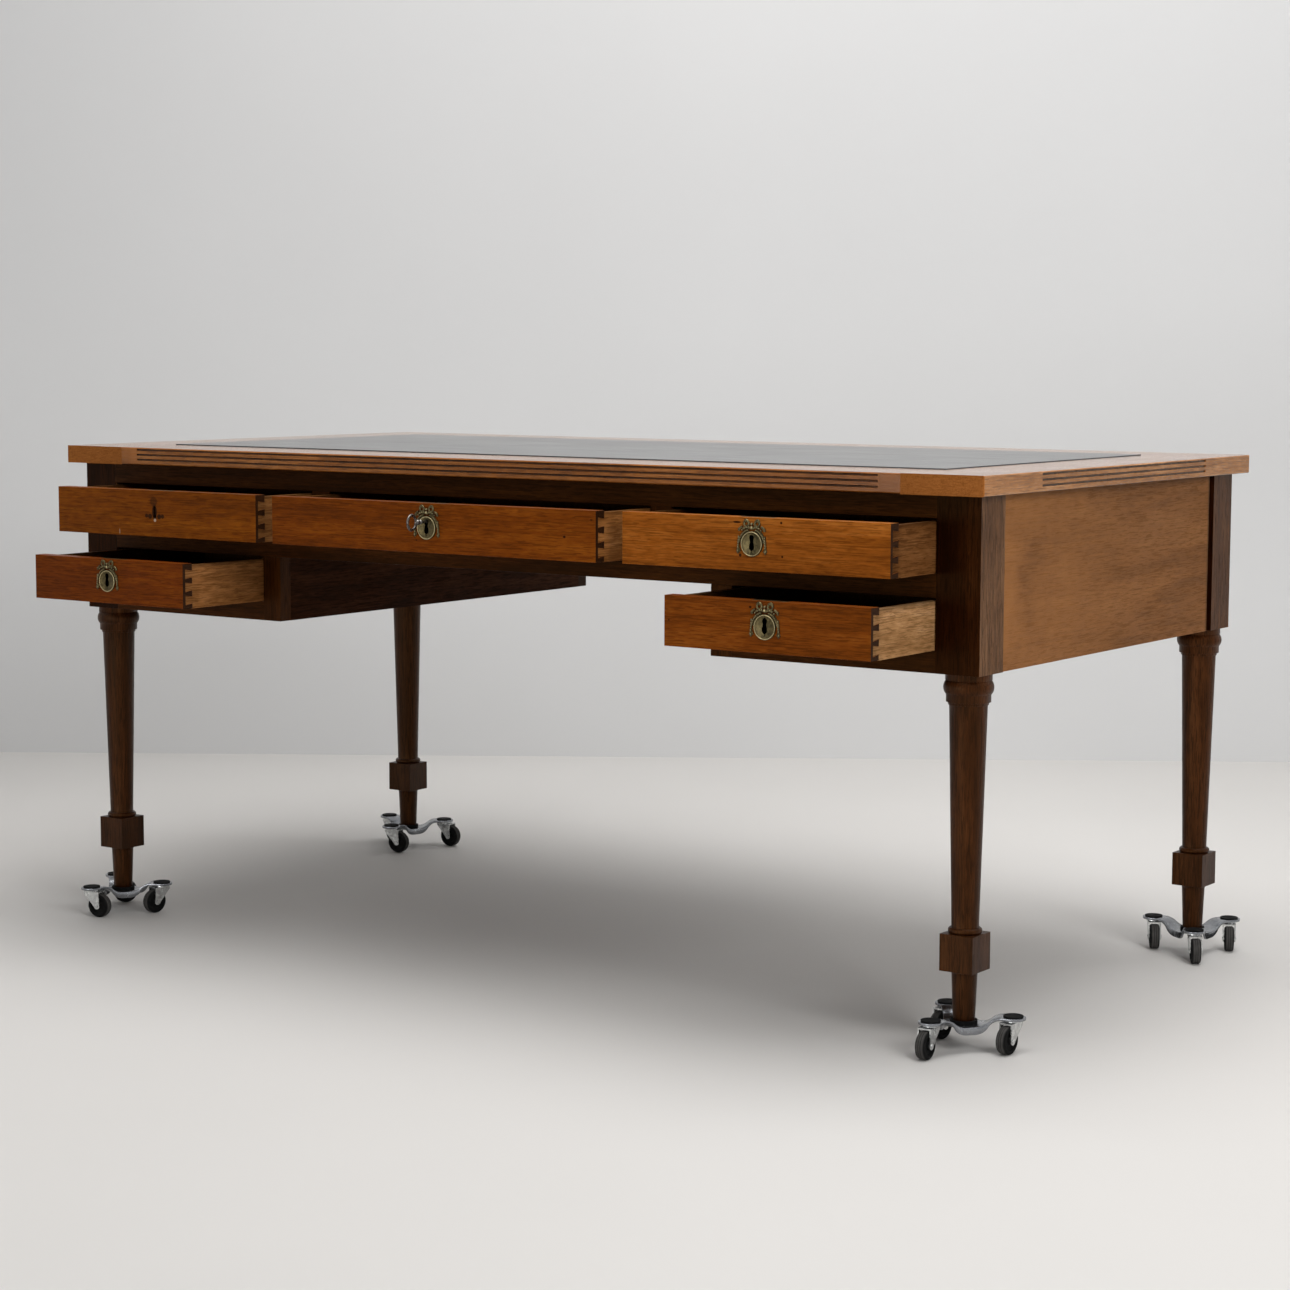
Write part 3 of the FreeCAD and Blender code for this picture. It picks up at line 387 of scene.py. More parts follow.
@dataclass(frozen=True)
class Wood(Finish):
    """A waxed or raw board: fibres, pores, broad figure, marks, dirt, and painted light and shade."""

    dark: Colour
    middle: Colour
    light: Colour
    grain: Grain = Grain.LENGTH
    roughness: float = 0.46
    pores: float = 0.55
    figure: float = 0.35
    streaks: float = 0.28
    wander: Point = (0.03, 0.02, 0.04)
    coat: float = 0.0
    coat_rough: float = 0.2
    specular: float = 0.35
    tint: Colour = (1.0, 0.7, 0.42)
    marks: tuple[Mark, ...] = ()
    blocks: tuple[CornerBlock, ...] = ()
    chips: tuple[Mark, ...] = ()
    dirt_and_shade: tuple[DirtAndPaintedLight | Reeds, ...] = ()
    painted_light: tuple[DirtAndPaintedLight, ...] = ()
    dirt_and_shade_depth: float = 0.12
    pore_depth: float = 0.42
    painted_light_lift: float = 1.2
    chip_tone: Colour = (0.55, 0.47, 0.36)

    def layer(
        self, paint: Paint, place: Value, scales: tuple[float, float], detail: float, warp: float
    ) -> Value:
        """Noise that is drawn out along the fibres.

        Args:
            paint: The material.
            place: The point.
            scales: How fine it is along the fibres and across them, per metre.
            detail: Its finer octaves.
            warp: Its distortion.

        Returns:
            The noise, between 0 and 1.
        """
        along, across = scales
        sizes = [across, across, across]
        sizes[self.grain.value] = along
        return paint.noise(paint.stretch(place, tuple(sizes), self.wander), detail=detail, warp=warp)

    def worn(self, paint: Paint, place: Value, colour: Value, rub: Value) -> Value:
        """Lay the board's dirt, stains, chips, painted light and painted shade over its colour.

        Args:
            paint: The material.
            place: The point.
            colour: The clean wood.
            rub: Noise that breaks the dirt and the painted light and shade up.

        Returns:
            The colour with all of them laid on.
        """
        parts = paint.split(place)
        deep = tuple(share * self.dirt_and_shade_depth for share in self.dark)
        pale = tuple(share * self.painted_light_lift for share in self.light)
        # Painted light: paler towards a plane.
        for lit_band in self.painted_light:
            colour = paint.mix(lit_band.spot(parts) * rub.step(0.2, 0.7), colour, pale)
        for block in self.blocks:
            mottled = paint.mix(rub.step(0.35, 0.65), block.dark, block.light)
            colour = paint.mix(block.spot(parts) * 0.85, colour, mottled)
        # These bands hold painted shade in the reeds' grooves and beside the end panels' gaps, dirt on the
        # drawer boxes, and the legs' darkening towards the floor.
        for dirt_and_shade in self.dirt_and_shade:
            colour = paint.mix(dirt_and_shade.spot(parts) * (rub * 0.7 + 0.55).at_most(1.0), colour, deep)
        # Marks hold stains and nail holes, and painted shade round the key plates and in the bare keyhole.
        for mark in self.marks:
            colour = paint.mix(mark.spot(parts[0], parts[2]), colour, deep)
        for chip in self.chips:
            colour = paint.mix(chip.spot(parts[0], parts[2]), colour, self.chip_tone)
        return colour

    def lay(self, paint: Paint, place: Value) -> None:
        """Lay the board's figure, fibres, pores and wear, and its painted light and shade.

        Args:
            paint: The material.
            place: The point.
        """
        broad = self.layer(paint, place, (2.6, 24.0), 3.0, 0.5)
        streak = self.layer(paint, place, (8.0, 300.0), 3.0, 0.2)
        mottle = self.layer(paint, place, (40.0, 160.0), 2.0, 0.6)
        vein = self.layer(paint, place, (30.0, 560.0), 2.0, 0.4)
        fibre = self.layer(paint, place, (60.0, 1500.0), 2.0, 0.3)
        plain_share = 1.0 - self.streaks - self.figure
        tone = broad * plain_share + mottle * self.figure + streak * self.streaks
        colour = paint.ramp(tone, (0.37, self.dark), (0.5, self.middle), (0.64, self.light))
        pore = (fibre.step(0.52, 0.66) * 0.8).at_least(vein.step(0.54, 0.59))
        deep = tuple(share * self.pore_depth for share in self.dark)
        colour = paint.mix(pore * self.pores, colour, deep)
        wear = paint.noise(place, 11.0, 3.0)
        colour = self.worn(paint, place, colour, wear)
        # Wear and streaks vary about a half, so half of their weights comes off the board's own roughness.
        rough = wear * 0.16 + streak * 0.1 + pore * 0.12 + (self.roughness - 0.13)
        relief = streak * 0.35 - pore * 0.8
        paint.set(
            base_color=colour,
            roughness=rough,
            normal=paint.bump(relief, 0.22, 0.0004),
            specular_ior_level=self.specular,
            specular_tint=self.tint,
            coat_weight=self.coat,
            coat_roughness=self.coat_rough,
        )

    def along(self, grain: Grain) -> "Wood":
        """The same wood with its fibres another way."""
        return replace(self, name=f"{self.name}_{grain.name.lower()}", grain=grain)

    def toned(self, word: str, middle: Colour) -> "Wood":
        """The same wood about another middle colour.

        Args:
            word: What the new finish's name ends in.
            middle: The new middle colour.

        Returns:
            The new finish.
        """
        dark = tuple(tone * old / mid for tone, old, mid in zip(middle, self.dark, self.middle))
        light = tuple(tone * old / mid for tone, old, mid in zip(middle, self.light, self.middle))
        return replace(self, name=f"{self.name}_{word}", dark=dark, middle=middle, light=light)


@dataclass(frozen=True)
class EndGrain(Finish):
    """The cut-off end of a board: dots and rays, dark with wax."""

    dark: Colour
    light: Colour
    specular: float = 0.15
    tint: Colour = (1.0, 0.7, 0.42)

    def lay(self, paint: Paint, place: Value) -> None:
        """Lay the end's dots and rays.

        Args:
            paint: The material.
            place: The point.
        """
        dots = paint.noise(place, 900.0, 2.0)
        rays = paint.noise(paint.stretch(place, (70.0, 70.0, 500.0)), 1.0, 3.0, 0.6)
        colour = paint.ramp(dots * 0.6 + rays * 0.4, (0.36, self.dark), (0.64, self.light))
        rough = dots * 0.2 + 0.42
        paint.set(
            base_color=colour,
            roughness=rough,
            normal=paint.bump(dots, 0.2, 0.0003),
            specular_ior_level=self.specular,
            specular_tint=self.tint,
        )


@dataclass(frozen=True)
class Metal(Finish):
    """A bare or painted metal with stains and brushing, and raised places that wear bright with a painted
    highlight.
    """

    low: Colour
    high: Colour
    metallic: float
    roughness: float
    spread: float = 0.12
    scale: float = 220.0
    worn: Colour | None = None

    def lay(self, paint: Paint, place: Value) -> None:
        """Lay the metal's stains, brushing and wear, with a painted highlight on raised places where it has
        them.

        Args:
            paint: The material.
            place: The point.
        """
        cloud = paint.noise(place, self.scale, 4.0, 0.4)
        grit = paint.noise(place, self.scale * 7.0, 2.0)
        colour = paint.ramp(cloud * 0.7 + grit * 0.3, (0.36, self.low), (0.64, self.high))
        if self.worn is not None:
            # Raised places are rubbed bright: partly wear, partly a painted highlight on crests and specks.
            rubbed = paint.attribute("raised").step(0.55, 1.0) * grit.step(0.25, 0.6)
            colour = paint.mix(rubbed, colour, self.worn)
        rough = cloud * (2 * self.spread) + grit * 0.08 + (self.roughness - self.spread - 0.04)
        paint.set(
            base_color=colour,
            metallic=self.metallic,
            roughness=rough,
            normal=paint.bump(grit * 0.4 + cloud, 0.12, 0.0003),
        )


@dataclass(frozen=True)
class Rubber(Finish):
    """Black rubber with dust, and a paler tread where the mesh says so."""

    base: Colour
    dust: Colour
    tread: Colour | None = None
    roughness: float = 0.62
    specular: float = 0.06

    def lay(self, paint: Paint, place: Value) -> None:
        """Lay the rubber's dust and tread.

        Args:
            paint: The material.
            place: The point.
        """
        cloud = paint.noise(place, 120.0, 4.0)
        speck = paint.noise(place, 1400.0, 1.0)
        colour = paint.mix(cloud.step(0.45, 0.75) * 0.5 + speck.step(0.6, 0.72) * 0.3, self.base, self.dust)
        if self.tread is not None:
            colour = paint.mix(paint.attribute("raised") * (cloud * 0.6 + 0.5), colour, self.tread)
        paint.set(
            base_color=colour,
            roughness=cloud * 0.2 + self.roughness,
            normal=paint.bump(speck, 0.15, 0.0002),
            specular_ior_level=self.specular,
        )


@dataclass(frozen=True)
class WritingSheet(Finish):
    """The dark writing sheet: fine pebbled grain, rubbed patches and a paler bluish edge. Metres."""

    base: Colour
    rubbed: Colour
    edge: Colour
    half_length: float
    middle_y: float
    half_depth: float
    band: tuple[float, float] = (-0.007, -0.001)
    polish: float = 0.085

    def lay(self, paint: Paint, place: Value) -> None:
        """Lay the sheet's grain, rubbed patches and edge.

        Args:
            paint: The material.
            place: The point.
        """
        x, y, _ = paint.split(place)
        cloud = paint.noise(place, 5.0, 4.0, 0.6)
        pebble = paint.node("ShaderNodeTexVoronoi", inputs={"Vector": place, "Scale": 950.0})
        colour = paint.mix(cloud.step(0.45, 0.75), self.base, self.rubbed)
        near = (abs(x) - self.half_length).at_least(abs(y - self.middle_y) - self.half_depth)
        colour = paint.mix(near.step(*self.band) * 0.8, colour, self.edge)
        scuff = paint.noise(paint.stretch(place, (6.0, 40.0, 40.0), (0, 0, 0.5)), 1.0, 5.0)
        rough = cloud * 0.06 + scuff * 0.12 + self.polish
        paint.set(base_color=colour, roughness=rough, normal=paint.bump(pebble * 0.4 + scuff, 0.03, 0.0002))


@dataclass(frozen=True)
class Backdrop(Finish):
    """A matt pale sheet with faint clouds, plain pale far from the desk and clear from behind. Metres."""

    colour: Colour
    roughness: float
    near: float
    blend: float = 2.5
    far_pale: Colour = (0.7, 0.695, 0.68)
    cloud_tone: float = 0.97
    specular: float = 0.1

    def lay(self, paint: Paint, place: Value) -> None:
        """Lay the sheet's clouds, its plain far part and its clear back.

        Args:
            paint: The material.
            place: The point.
        """
        cloud = paint.noise(place, 0.8, 3.0)
        clouded = tuple(share * self.cloud_tone for share in self.colour)
        tint = paint.mix(cloud.step(0.3, 0.7), self.colour, clouded)
        paint.set(base_color=tint, roughness=self.roughness, specular_ior_level=self.specular)
        far = paint.node("ShaderNodeVectorMath", {"operation": "LENGTH"}, {0: place}, output="Value")
        plain_share = far.step(self.near, self.near + self.blend) * paint.seen()
        glow = paint.node("ShaderNodeEmission", inputs={0: self.far_pale})
        clear = paint.node("ShaderNodeBsdfTransparent")
        behind = paint.node("ShaderNodeNewGeometry", output="Backfacing")
        shown = Value(paint, paint.shader.outputs[0])
        shown = paint.node("ShaderNodeMixShader", inputs={0: plain_share, 1: shown, 2: glow})
        shown = paint.node("ShaderNodeMixShader", inputs={0: behind, 1: shown, 2: clear})
        paint.feed(paint.output.inputs[0], shown)


# The tint of old wax's gloss over red wood.
RED_GLOSS: Colour = (1.0, 0.5, 0.16)
FRONT_WOOD = Wood(
    "waxed_front", (0.1, 0.022, 0.0008), (0.18, 0.042, 0.0018), (0.27, 0.075, 0.005),
    roughness=0.4, pores=0.5, figure=0.22, specular=0.16, tint=RED_GLOSS,
)
FRONT_TONES: dict[str, Colour] = {
    "upper_left": (0.187, 0.045, 0.0015),
    "upper_centre": (0.168, 0.036, 0.0014),
    "upper_right": (0.29, 0.078, 0.007),
    "lower_left": (0.15, 0.029, 0.0008),
    "lower_right": (0.178, 0.04, 0.0026),
}
TOP_WOOD = Wood(
    "top_wood", (0.19, 0.066, 0.014), (0.31, 0.12, 0.03), (0.42, 0.18, 0.055),
    roughness=0.12, figure=0.2, coat=0.4, specular=0.5, tint=(1.0, 0.85, 0.7),
)
EDGE_WOOD = Wood(
    "reeded_edge_wood", (0.2, 0.058, 0.0085), (0.35, 0.118, 0.022), (0.48, 0.19, 0.05),
    roughness=0.24, figure=0.2, coat=0.3, specular=0.3, tint=(1.0, 0.62, 0.32),
)
# Painted light: the end panels are paler towards the front.
PANEL_WOOD = Wood(
    "end_panel_wood", (0.165, 0.063, 0.016), (0.235, 0.093, 0.026), (0.305, 0.128, 0.04), Grain.DEPTH,
    roughness=0.5, pores=0.36, figure=0.16, specular=0.18, painted_light=(DirtAndPaintedLight(Grain.DEPTH, -0.3, 0.5, 0.75),),
)
FRAME_WOOD = Wood(
    "frame_wood", (0.016, 0.0042, 0.0007), (0.034, 0.009, 0.0014), (0.065, 0.02, 0.0036),
    roughness=0.42, figure=0.2, specular=0.12, tint=RED_GLOSS,
)
# The legs darken towards the floor.
LEG_WOOD = Wood(
    "leg_wood", (0.02, 0.0054, 0.0013), (0.047, 0.0138, 0.0034), (0.095, 0.032, 0.0095), Grain.UPRIGHT,
    roughness=0.34, pores=0.7, figure=0.12, specular=0.2, tint=(1.0, 0.62, 0.34),
    dirt_and_shade=(DirtAndPaintedLight(Grain.UPRIGHT, 0.04, 0.3, 0.4),),
)
# Painted light and shade: lit and shaded copies of the leg's wood for the faces of the posts.
POST_SHADED = replace(LEG_WOOD.toned("face", (0.019, 0.0042, 0.0007)), specular=0.08, tint=RED_GLOSS)
POST_LIT = LEG_WOOD.toned("side", (0.122, 0.052, 0.0185))
REAR_POST_LIT = LEG_WOOD.toned("rear_side", (0.08, 0.027, 0.006))
KNEEHOLE_WOOD = replace(
    FRAME_WOOD.toned("kneehole", (0.036, 0.0105, 0.0036)), grain=Grain.DEPTH, roughness=0.62, specular=0.08
)
RAW_WOOD = Wood(
    "raw_side_wood", (0.15, 0.058, 0.015), (0.24, 0.1, 0.029), (0.35, 0.16, 0.056), Grain.DEPTH,
    roughness=0.62, figure=0.3, specular=0.1,
)
# Painted light: the upper centre side, and a little the lower left, are toned paler against the shade in
# which they stand.
SIDE_TONES: dict[str, Colour] = {
    "upper_left": (0.24, 0.1, 0.029),
    "upper_centre": (0.35, 0.138, 0.037),
    "upper_right": (0.15, 0.057, 0.0155),
    "lower_left": (0.26, 0.105, 0.03),
    "lower_right": (0.43, 0.225, 0.092),
}
# Painted shade: the drawers' insides are toned dark.
SHADED_INSIDE_WOOD = RAW_WOOD.toned("inside", (0.075, 0.03, 0.009))
BOARD_WOOD = Wood(
    "board_wood", (0.035, 0.014, 0.005), (0.06, 0.025, 0.009), (0.1, 0.045, 0.018), Grain.DEPTH,
    roughness=0.65, specular=0.1,
)
FRONT_END = EndGrain("front_end_grain", (0.008, 0.003, 0.0012), (0.035, 0.012, 0.004))
TOP_END = EndGrain("top_end_grain", (0.2, 0.062, 0.011), (0.4, 0.14, 0.03))
# The brass's last colour is its raised places rubbed bright: partly wear, partly a painted highlight.
BRASS = Metal("aged_brass", (0.04, 0.031, 0.013), (0.13, 0.1, 0.042), 0.85, 0.36, worn=(0.6, 0.5, 0.27))
KEY_STEEL = Metal("worn_key_steel", (0.06, 0.055, 0.05), (0.22, 0.205, 0.19), 0.95, 0.28)
GREY_PAINT = Metal("grey_dolly_paint", (0.19, 0.2, 0.215), (0.32, 0.33, 0.35), 0.9, 0.24, 0.1, 60.0)
ZINC = Metal("zinc_plate", (0.45, 0.46, 0.46), (0.72, 0.73, 0.72), 0.95, 0.25, 0.1, 150.0)
PAD_RUBBER = Rubber("pad_rubber", (0.006, 0.006, 0.006), (0.022, 0.0215, 0.021))
WHEEL_RUBBER = Rubber("wheel_rubber", (0.007, 0.007, 0.007), (0.022, 0.0215, 0.021), (0.085, 0.081, 0.077))


def plate_shade(x: float, z: float) -> tuple[Mark, Mark]:
    """Painted shade round the disc and the bow of a key plate at x and z."""
    return Mark(x, z, 0.0105, 0.0185, 0.6), Mark(x, z + 0.016, 0.0215, 0.0085, 0.5)


FRONT_MARKS: dict[str, tuple[Mark, ...]] = {
    "upper_right": (
        Mark(0.5388, 0.7277, 0.0078, 0.0019),
        Mark(0.6105, 0.7291, 0.0022, 0.0022),
        Mark(0.6125, 0.6831, 0.002, 0.002),
        Mark(0.5446, 0.6827, 0.0028, 0.003),
        *plate_shade(0.5637, 0.7005),
    ),
    "lower_right": (
        Mark(0.5928, 0.6176, 0.0026, 0.002),
        Mark(0.4596, 0.5925, 0.0016, 0.0016, 0.8),
        *plate_shade(0.6167, 0.5934),
    ),
    "lower_left": plate_shade(-0.6167, 0.5934),
    "upper_centre": (
        *plate_shade(0.0, 0.7005),
        Mark(0.2527, 0.6957, 0.003, 0.0022),
        Mark(0.3003, 0.7218, 0.0025, 0.0018, 0.7),
        Mark(-0.0205, 0.6795, 0.0016, 0.0016, 0.8),
    ),
    "upper_left": (
        # Painted shade: this tall first mark stands for the dark inside of the bare keyhole, larger than its
        # hole.
        Mark(-0.5637, 0.7005, 0.0066, 0.0145),
        Mark(-0.5655, 0.7175, 0.010, 0.009, 0.62),
        Mark(-0.5735, 0.6938, 0.0055, 0.005, 0.95),
        Mark(-0.5812, 0.6945, 0.0045, 0.004, 0.9),
        Mark(-0.5535, 0.6936, 0.0055, 0.005, 0.95),
        Mark(-0.5462, 0.6942, 0.0045, 0.0044, 0.9),
    ),
}
FRONT_CHIPS: dict[str, tuple[Mark, ...]] = {
    "upper_left": (Mark(-0.5628, 0.6878, 0.0032, 0.0032, 0.75), Mark(-0.6420, 0.6672, 0.0012, 0.0055, 0.45)),
}


def joint_called(name: str) -> dict:
    """The frame's joint of that name."""
    return next(joint for joint in frame["joints"] if joint["name"] == name)


def shifted(at: Point) -> Matrix:
    """The shift to a place that is given in millimetres."""
    return Matrix.Translation(Vector(at) * MM)


def dress(node: str, choose: Chooser, arris: float = 0.0, sharp: float = 40.0) -> None:
    """Give a CAD node its finishes face by face, and break its sharp edges.

    Args:
        node: The node's name.
        choose: Gives the finish for a face's middle and normal.
        arris: Width of the broken edges in metres, 0 to leave them.
        sharp: Angle in degrees above which an edge is broken.
    """
    piece = frame["nodes"][node]
    mesh = piece.data
    mesh.materials.clear()
    slots: dict[str, int] = {}
    for polygon in mesh.polygons:
        material = choose(polygon.center, polygon.normal)
        if material.name not in slots:
            slots[material.name] = len(slots)
            mesh.materials.append(material)
        polygon.material_index = slots[material.name]
    if arris:
        weld = piece.modifiers.new("joined", "WELD")
        weld.merge_threshold = WELD_REACH
        bevel = piece.modifiers.new("arris", "BEVEL")
        bevel.width = arris
        bevel.segments = 2
        bevel.limit_method = "ANGLE"
        bevel.angle_limit = math.radians(sharp)
        bevel.harden_normals = True
    log.info("dressed %s in %s", node, ", ".join(slots))


def plain(finish: Finish) -> Chooser:
    """A chooser that gives every face one finish."""
    material = finish.material()
    return lambda middle, normal: material


@dataclass(frozen=True)
class Bar:
    """An oval bar swept round: the radius of its middle, and half its width and height. Millimetres."""

    radius: float
    half_wide: float
    half_high: float

    def outside(self, disc: float) -> "Bar":
        """The same bar with its radius counted from the edge of a disc."""
        return replace(self, radius=self.radius + disc)


@dataclass(frozen=True)
class Leaf:
    """A pointed leaf, in millimetres, and the share of its width that its tips lose."""

    length: float
    width: float
    height: float
    pointed: float = 0.75


class Piece:
    """A mesh under construction that becomes one finished object."""

    def __init__(self, name: str) -> None:
        """Start an empty mesh."""
        self.name = name
        self.mesh = bmesh.new()

    def edges_of(self, verts: Iterable[bmesh.types.BMVert]) -> list[bmesh.types.BMEdge]:
        """The edges that have both ends among some vertices."""
        among = set(verts)
        return [edge for edge in self.mesh.edges if among.issuperset(edge.verts)]

    def spin(self, geom: list, angle: float, steps: int, full: bool) -> None:
        """Spin vertices and edges round the local Z axis.

        Args:
            geom: The vertices and edges.
            angle: How far, in radians.
            steps: Flats on the way.
            full: Whether the spin closes on itself.
        """
        middle, axis = (0, 0, 0), (0, 0, 1)
        bmesh.ops.spin(
            self.mesh, geom=geom, cent=middle, axis=axis, angle=angle, steps=steps, use_merge=full
        )

    def turn(self, profile: Iterable[tuple[float, float]], steps: int = 48) -> list[bmesh.types.BMVert]:
        """Turn a profile once round the local Z axis.

        Args:
            profile: Pairs of radius and height in millimetres.
            steps: Flats round the turn.

        Returns:
            The new vertices.
        """
        chain = [self.mesh.verts.new((radius * MM, 0, height * MM)) for radius, height in profile]
        edges = [self.mesh.edges.new(pair) for pair in zip(chain, chain[1:])]
        before = set(self.mesh.verts) - set(chain)
        self.spin(chain + edges, math.tau, steps, True)
        made = [vert for vert in self.mesh.verts if vert not in before]
        bmesh.ops.remove_doubles(self.mesh, verts=made, dist=1e-7)
        return [vert for vert in self.mesh.verts if vert not in before]

    def hoop(self, bar: Bar, start: float, sweep: float) -> list[bmesh.types.BMVert]:
        """Sweep an oval bar round the local Z axis.

        Args:
            bar: The bar.
            start: Where it starts, in degrees from X.
            sweep: How far it goes, in degrees; 360 closes it.

        Returns:
            The new vertices.
        """
        before = set(self.mesh.verts)
        ring = bmesh.ops.create_circle(self.mesh, segments=8, radius=MM)["verts"]
        begin = Matrix.Rotation(math.radians(start), 4, "Z")
        lay = Matrix.Translation((bar.radius * MM, 0, 0)) @ Matrix.Rotation(math.radians(90), 4, "X")
        self.move(ring, begin @ lay @ Matrix.Diagonal((bar.half_wide, bar.half_high, 1, 1)))
        full = abs(sweep) >= 360
        steps = max(6, round(abs(sweep) / 9))
        self.spin(ring + self.edges_of(ring), math.radians(sweep), steps, full)
        made = [vert for vert in self.mesh.verts if vert not in before]
        if not full:
            open_edges = [edge for edge in self.mesh.edges if edge.is_boundary and edge.verts[0] in set(made)]
            bmesh.ops.holes_fill(self.mesh, edges=open_edges)
        return made

    def leaf(self, leaf: Leaf, at: Point, turn: float) -> None:
        """Lay a pointed leaf in the local XY plane.

        Args:
            leaf: The leaf.
            at: Its middle, in millimetres.
            turn: The way it points, in degrees from X.
        """
        half = 0.5 * MM
        made = bmesh.ops.create_uvsphere(self.mesh, u_segments=8, v_segments=6, radius=half)["verts"]
        for vert in made:
            vert.co.y *= 1 - leaf.pointed * abs(vert.co.x / half) ** 1.5
        place = shifted(at) @ Matrix.Rotation(math.radians(turn), 4, "Z")
        self.move(made, place @ Matrix.Diagonal((leaf.length, leaf.width, leaf.height, 1)))

    def move(self, verts: Iterable[bmesh.types.BMVert], matrix: Matrix) -> None:
        """Transform some vertices."""
        bmesh.ops.transform(self.mesh, matrix=matrix, verts=list(verts))

    def note(self, proud: Proud, low: float, high: float) -> None:
        """Keep at each vertex how far it stands out, for the finish to wear it bright with a painted
        highlight or to pale its tread.

        Args:
            proud: Which way it stands out.
            low: Where that counts as 0, in millimetres.
            high: Where it counts as 1.
        """
        layer = self.mesh.verts.layers.float.new("raised")
        for vert in self.mesh.verts:
            out = vert.co.z if proud is Proud.UP else vert.co.xy.length
            vert[layer] = min(1.0, max(0.0, (out / MM - low) / (high - low)))

    def finish(self, body: str, finish: Finish, place: Matrix, slot: str, replaces: Iterable[str]) -> None:
        """Close the mesh, put it in its place and let it ride.

        Args:
            body: The body that carries it.
            finish: Its finish.
            place: From its local frame to the desk's.
            slot: The material slot of the record, which is not used.
            replaces: The CAD nodes that it stands for.
        """
        bmesh.ops.remove_doubles(self.mesh, verts=self.mesh.verts, dist=2e-6)
        bmesh.ops.transform(self.mesh, matrix=place, verts=self.mesh.verts)
        bmesh.ops.recalc_face_normals(self.mesh, faces=self.mesh.faces)
        for face in self.mesh.faces:
            face.smooth = True
        data = bpy.data.meshes.new(self.name)
        self.mesh.to_mesh(data)
        self.mesh.free()
        data.set_sharp_from_angle(angle=math.radians(SHOWN_TURN))
        data.materials.append(finish.material())
        made = bpy.data.objects.new(self.name, data)
        bpy.context.scene.collection.objects.link(made)
        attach(made, body)
        if replaces:
            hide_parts(*replaces)
        log.info("made %s on %s, %d faces", self.name, body, len(data.polygons))


@dataclass
class Top:
    """The framed top with its writing sheet. Metres, but level is a share of a face's normal."""

    border_end: float = 0.128
    reed_end: float = 0.7056
    arris: float = 0.0005
    level: float = 0.95

    def border(self) -> Chooser:
        """End rails run along the depth, and their cut ends show front and back.

        Returns:
            The chooser for the border.
        """
        low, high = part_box("top_border")
        reeds = Reeds(high.x, (high.y - low.y) / 2, (high.y + low.y) / 2, high.z)
        block = CornerBlock(self.reed_end, reeds.half_depth, reeds.middle_y, TOP_END.dark, TOP_END.light)
        # Painted shade darkens the grooves between the reeds.
        edge = replace(EDGE_WOOD, dirt_and_shade=(reeds,), blocks=(block,))
        long_rail, end_rail = TOP_WOOD.material(), TOP_WOOD.along(Grain.DEPTH).material()
        pale = edge.along(Grain.DEPTH).toned("pale", (0.44, 0.19, 0.06))
        long_edge, end_edge, cut_end = edge.material(), pale.material(), TOP_END.material()

        def choose(middle: Vector, normal: Vector) -> bpy.types.Material:
            """Choose for one face.

            Args:
                middle: The face's middle.
                normal: Its normal.

            Returns:
                Its finish.
            """
            flat = normal.z > self.level and middle.z > high.z - self.arris
            if abs(middle.x) < high.x - self.border_end:
                return long_rail if flat else long_edge
            if abs(normal.y) > FACING:
                return cut_end
            return end_rail if flat else end_edge

        return choose

    def sheet(self) -> WritingSheet:
        """The writing sheet's finish.

        Returns:
            The finish, with its edges where the node's are.
        """
        low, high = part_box("writing_surface")
        middle, half = (low + high) / 2, (high - low) / 2
        base, rubbed, edge = (0.006, 0.008, 0.009), (0.012, 0.015, 0.016), (0.05, 0.07, 0.085)
        return WritingSheet("dark_hide", base, rubbed, edge, half.x, middle.y, half.y)

    def build(self) -> None:
        """Dress the top."""
        dress("top_border", self.border())
        dress("top_panel", plain(TOP_WOOD))
        dress("writing_surface", plain(self.sheet()), self.arris)


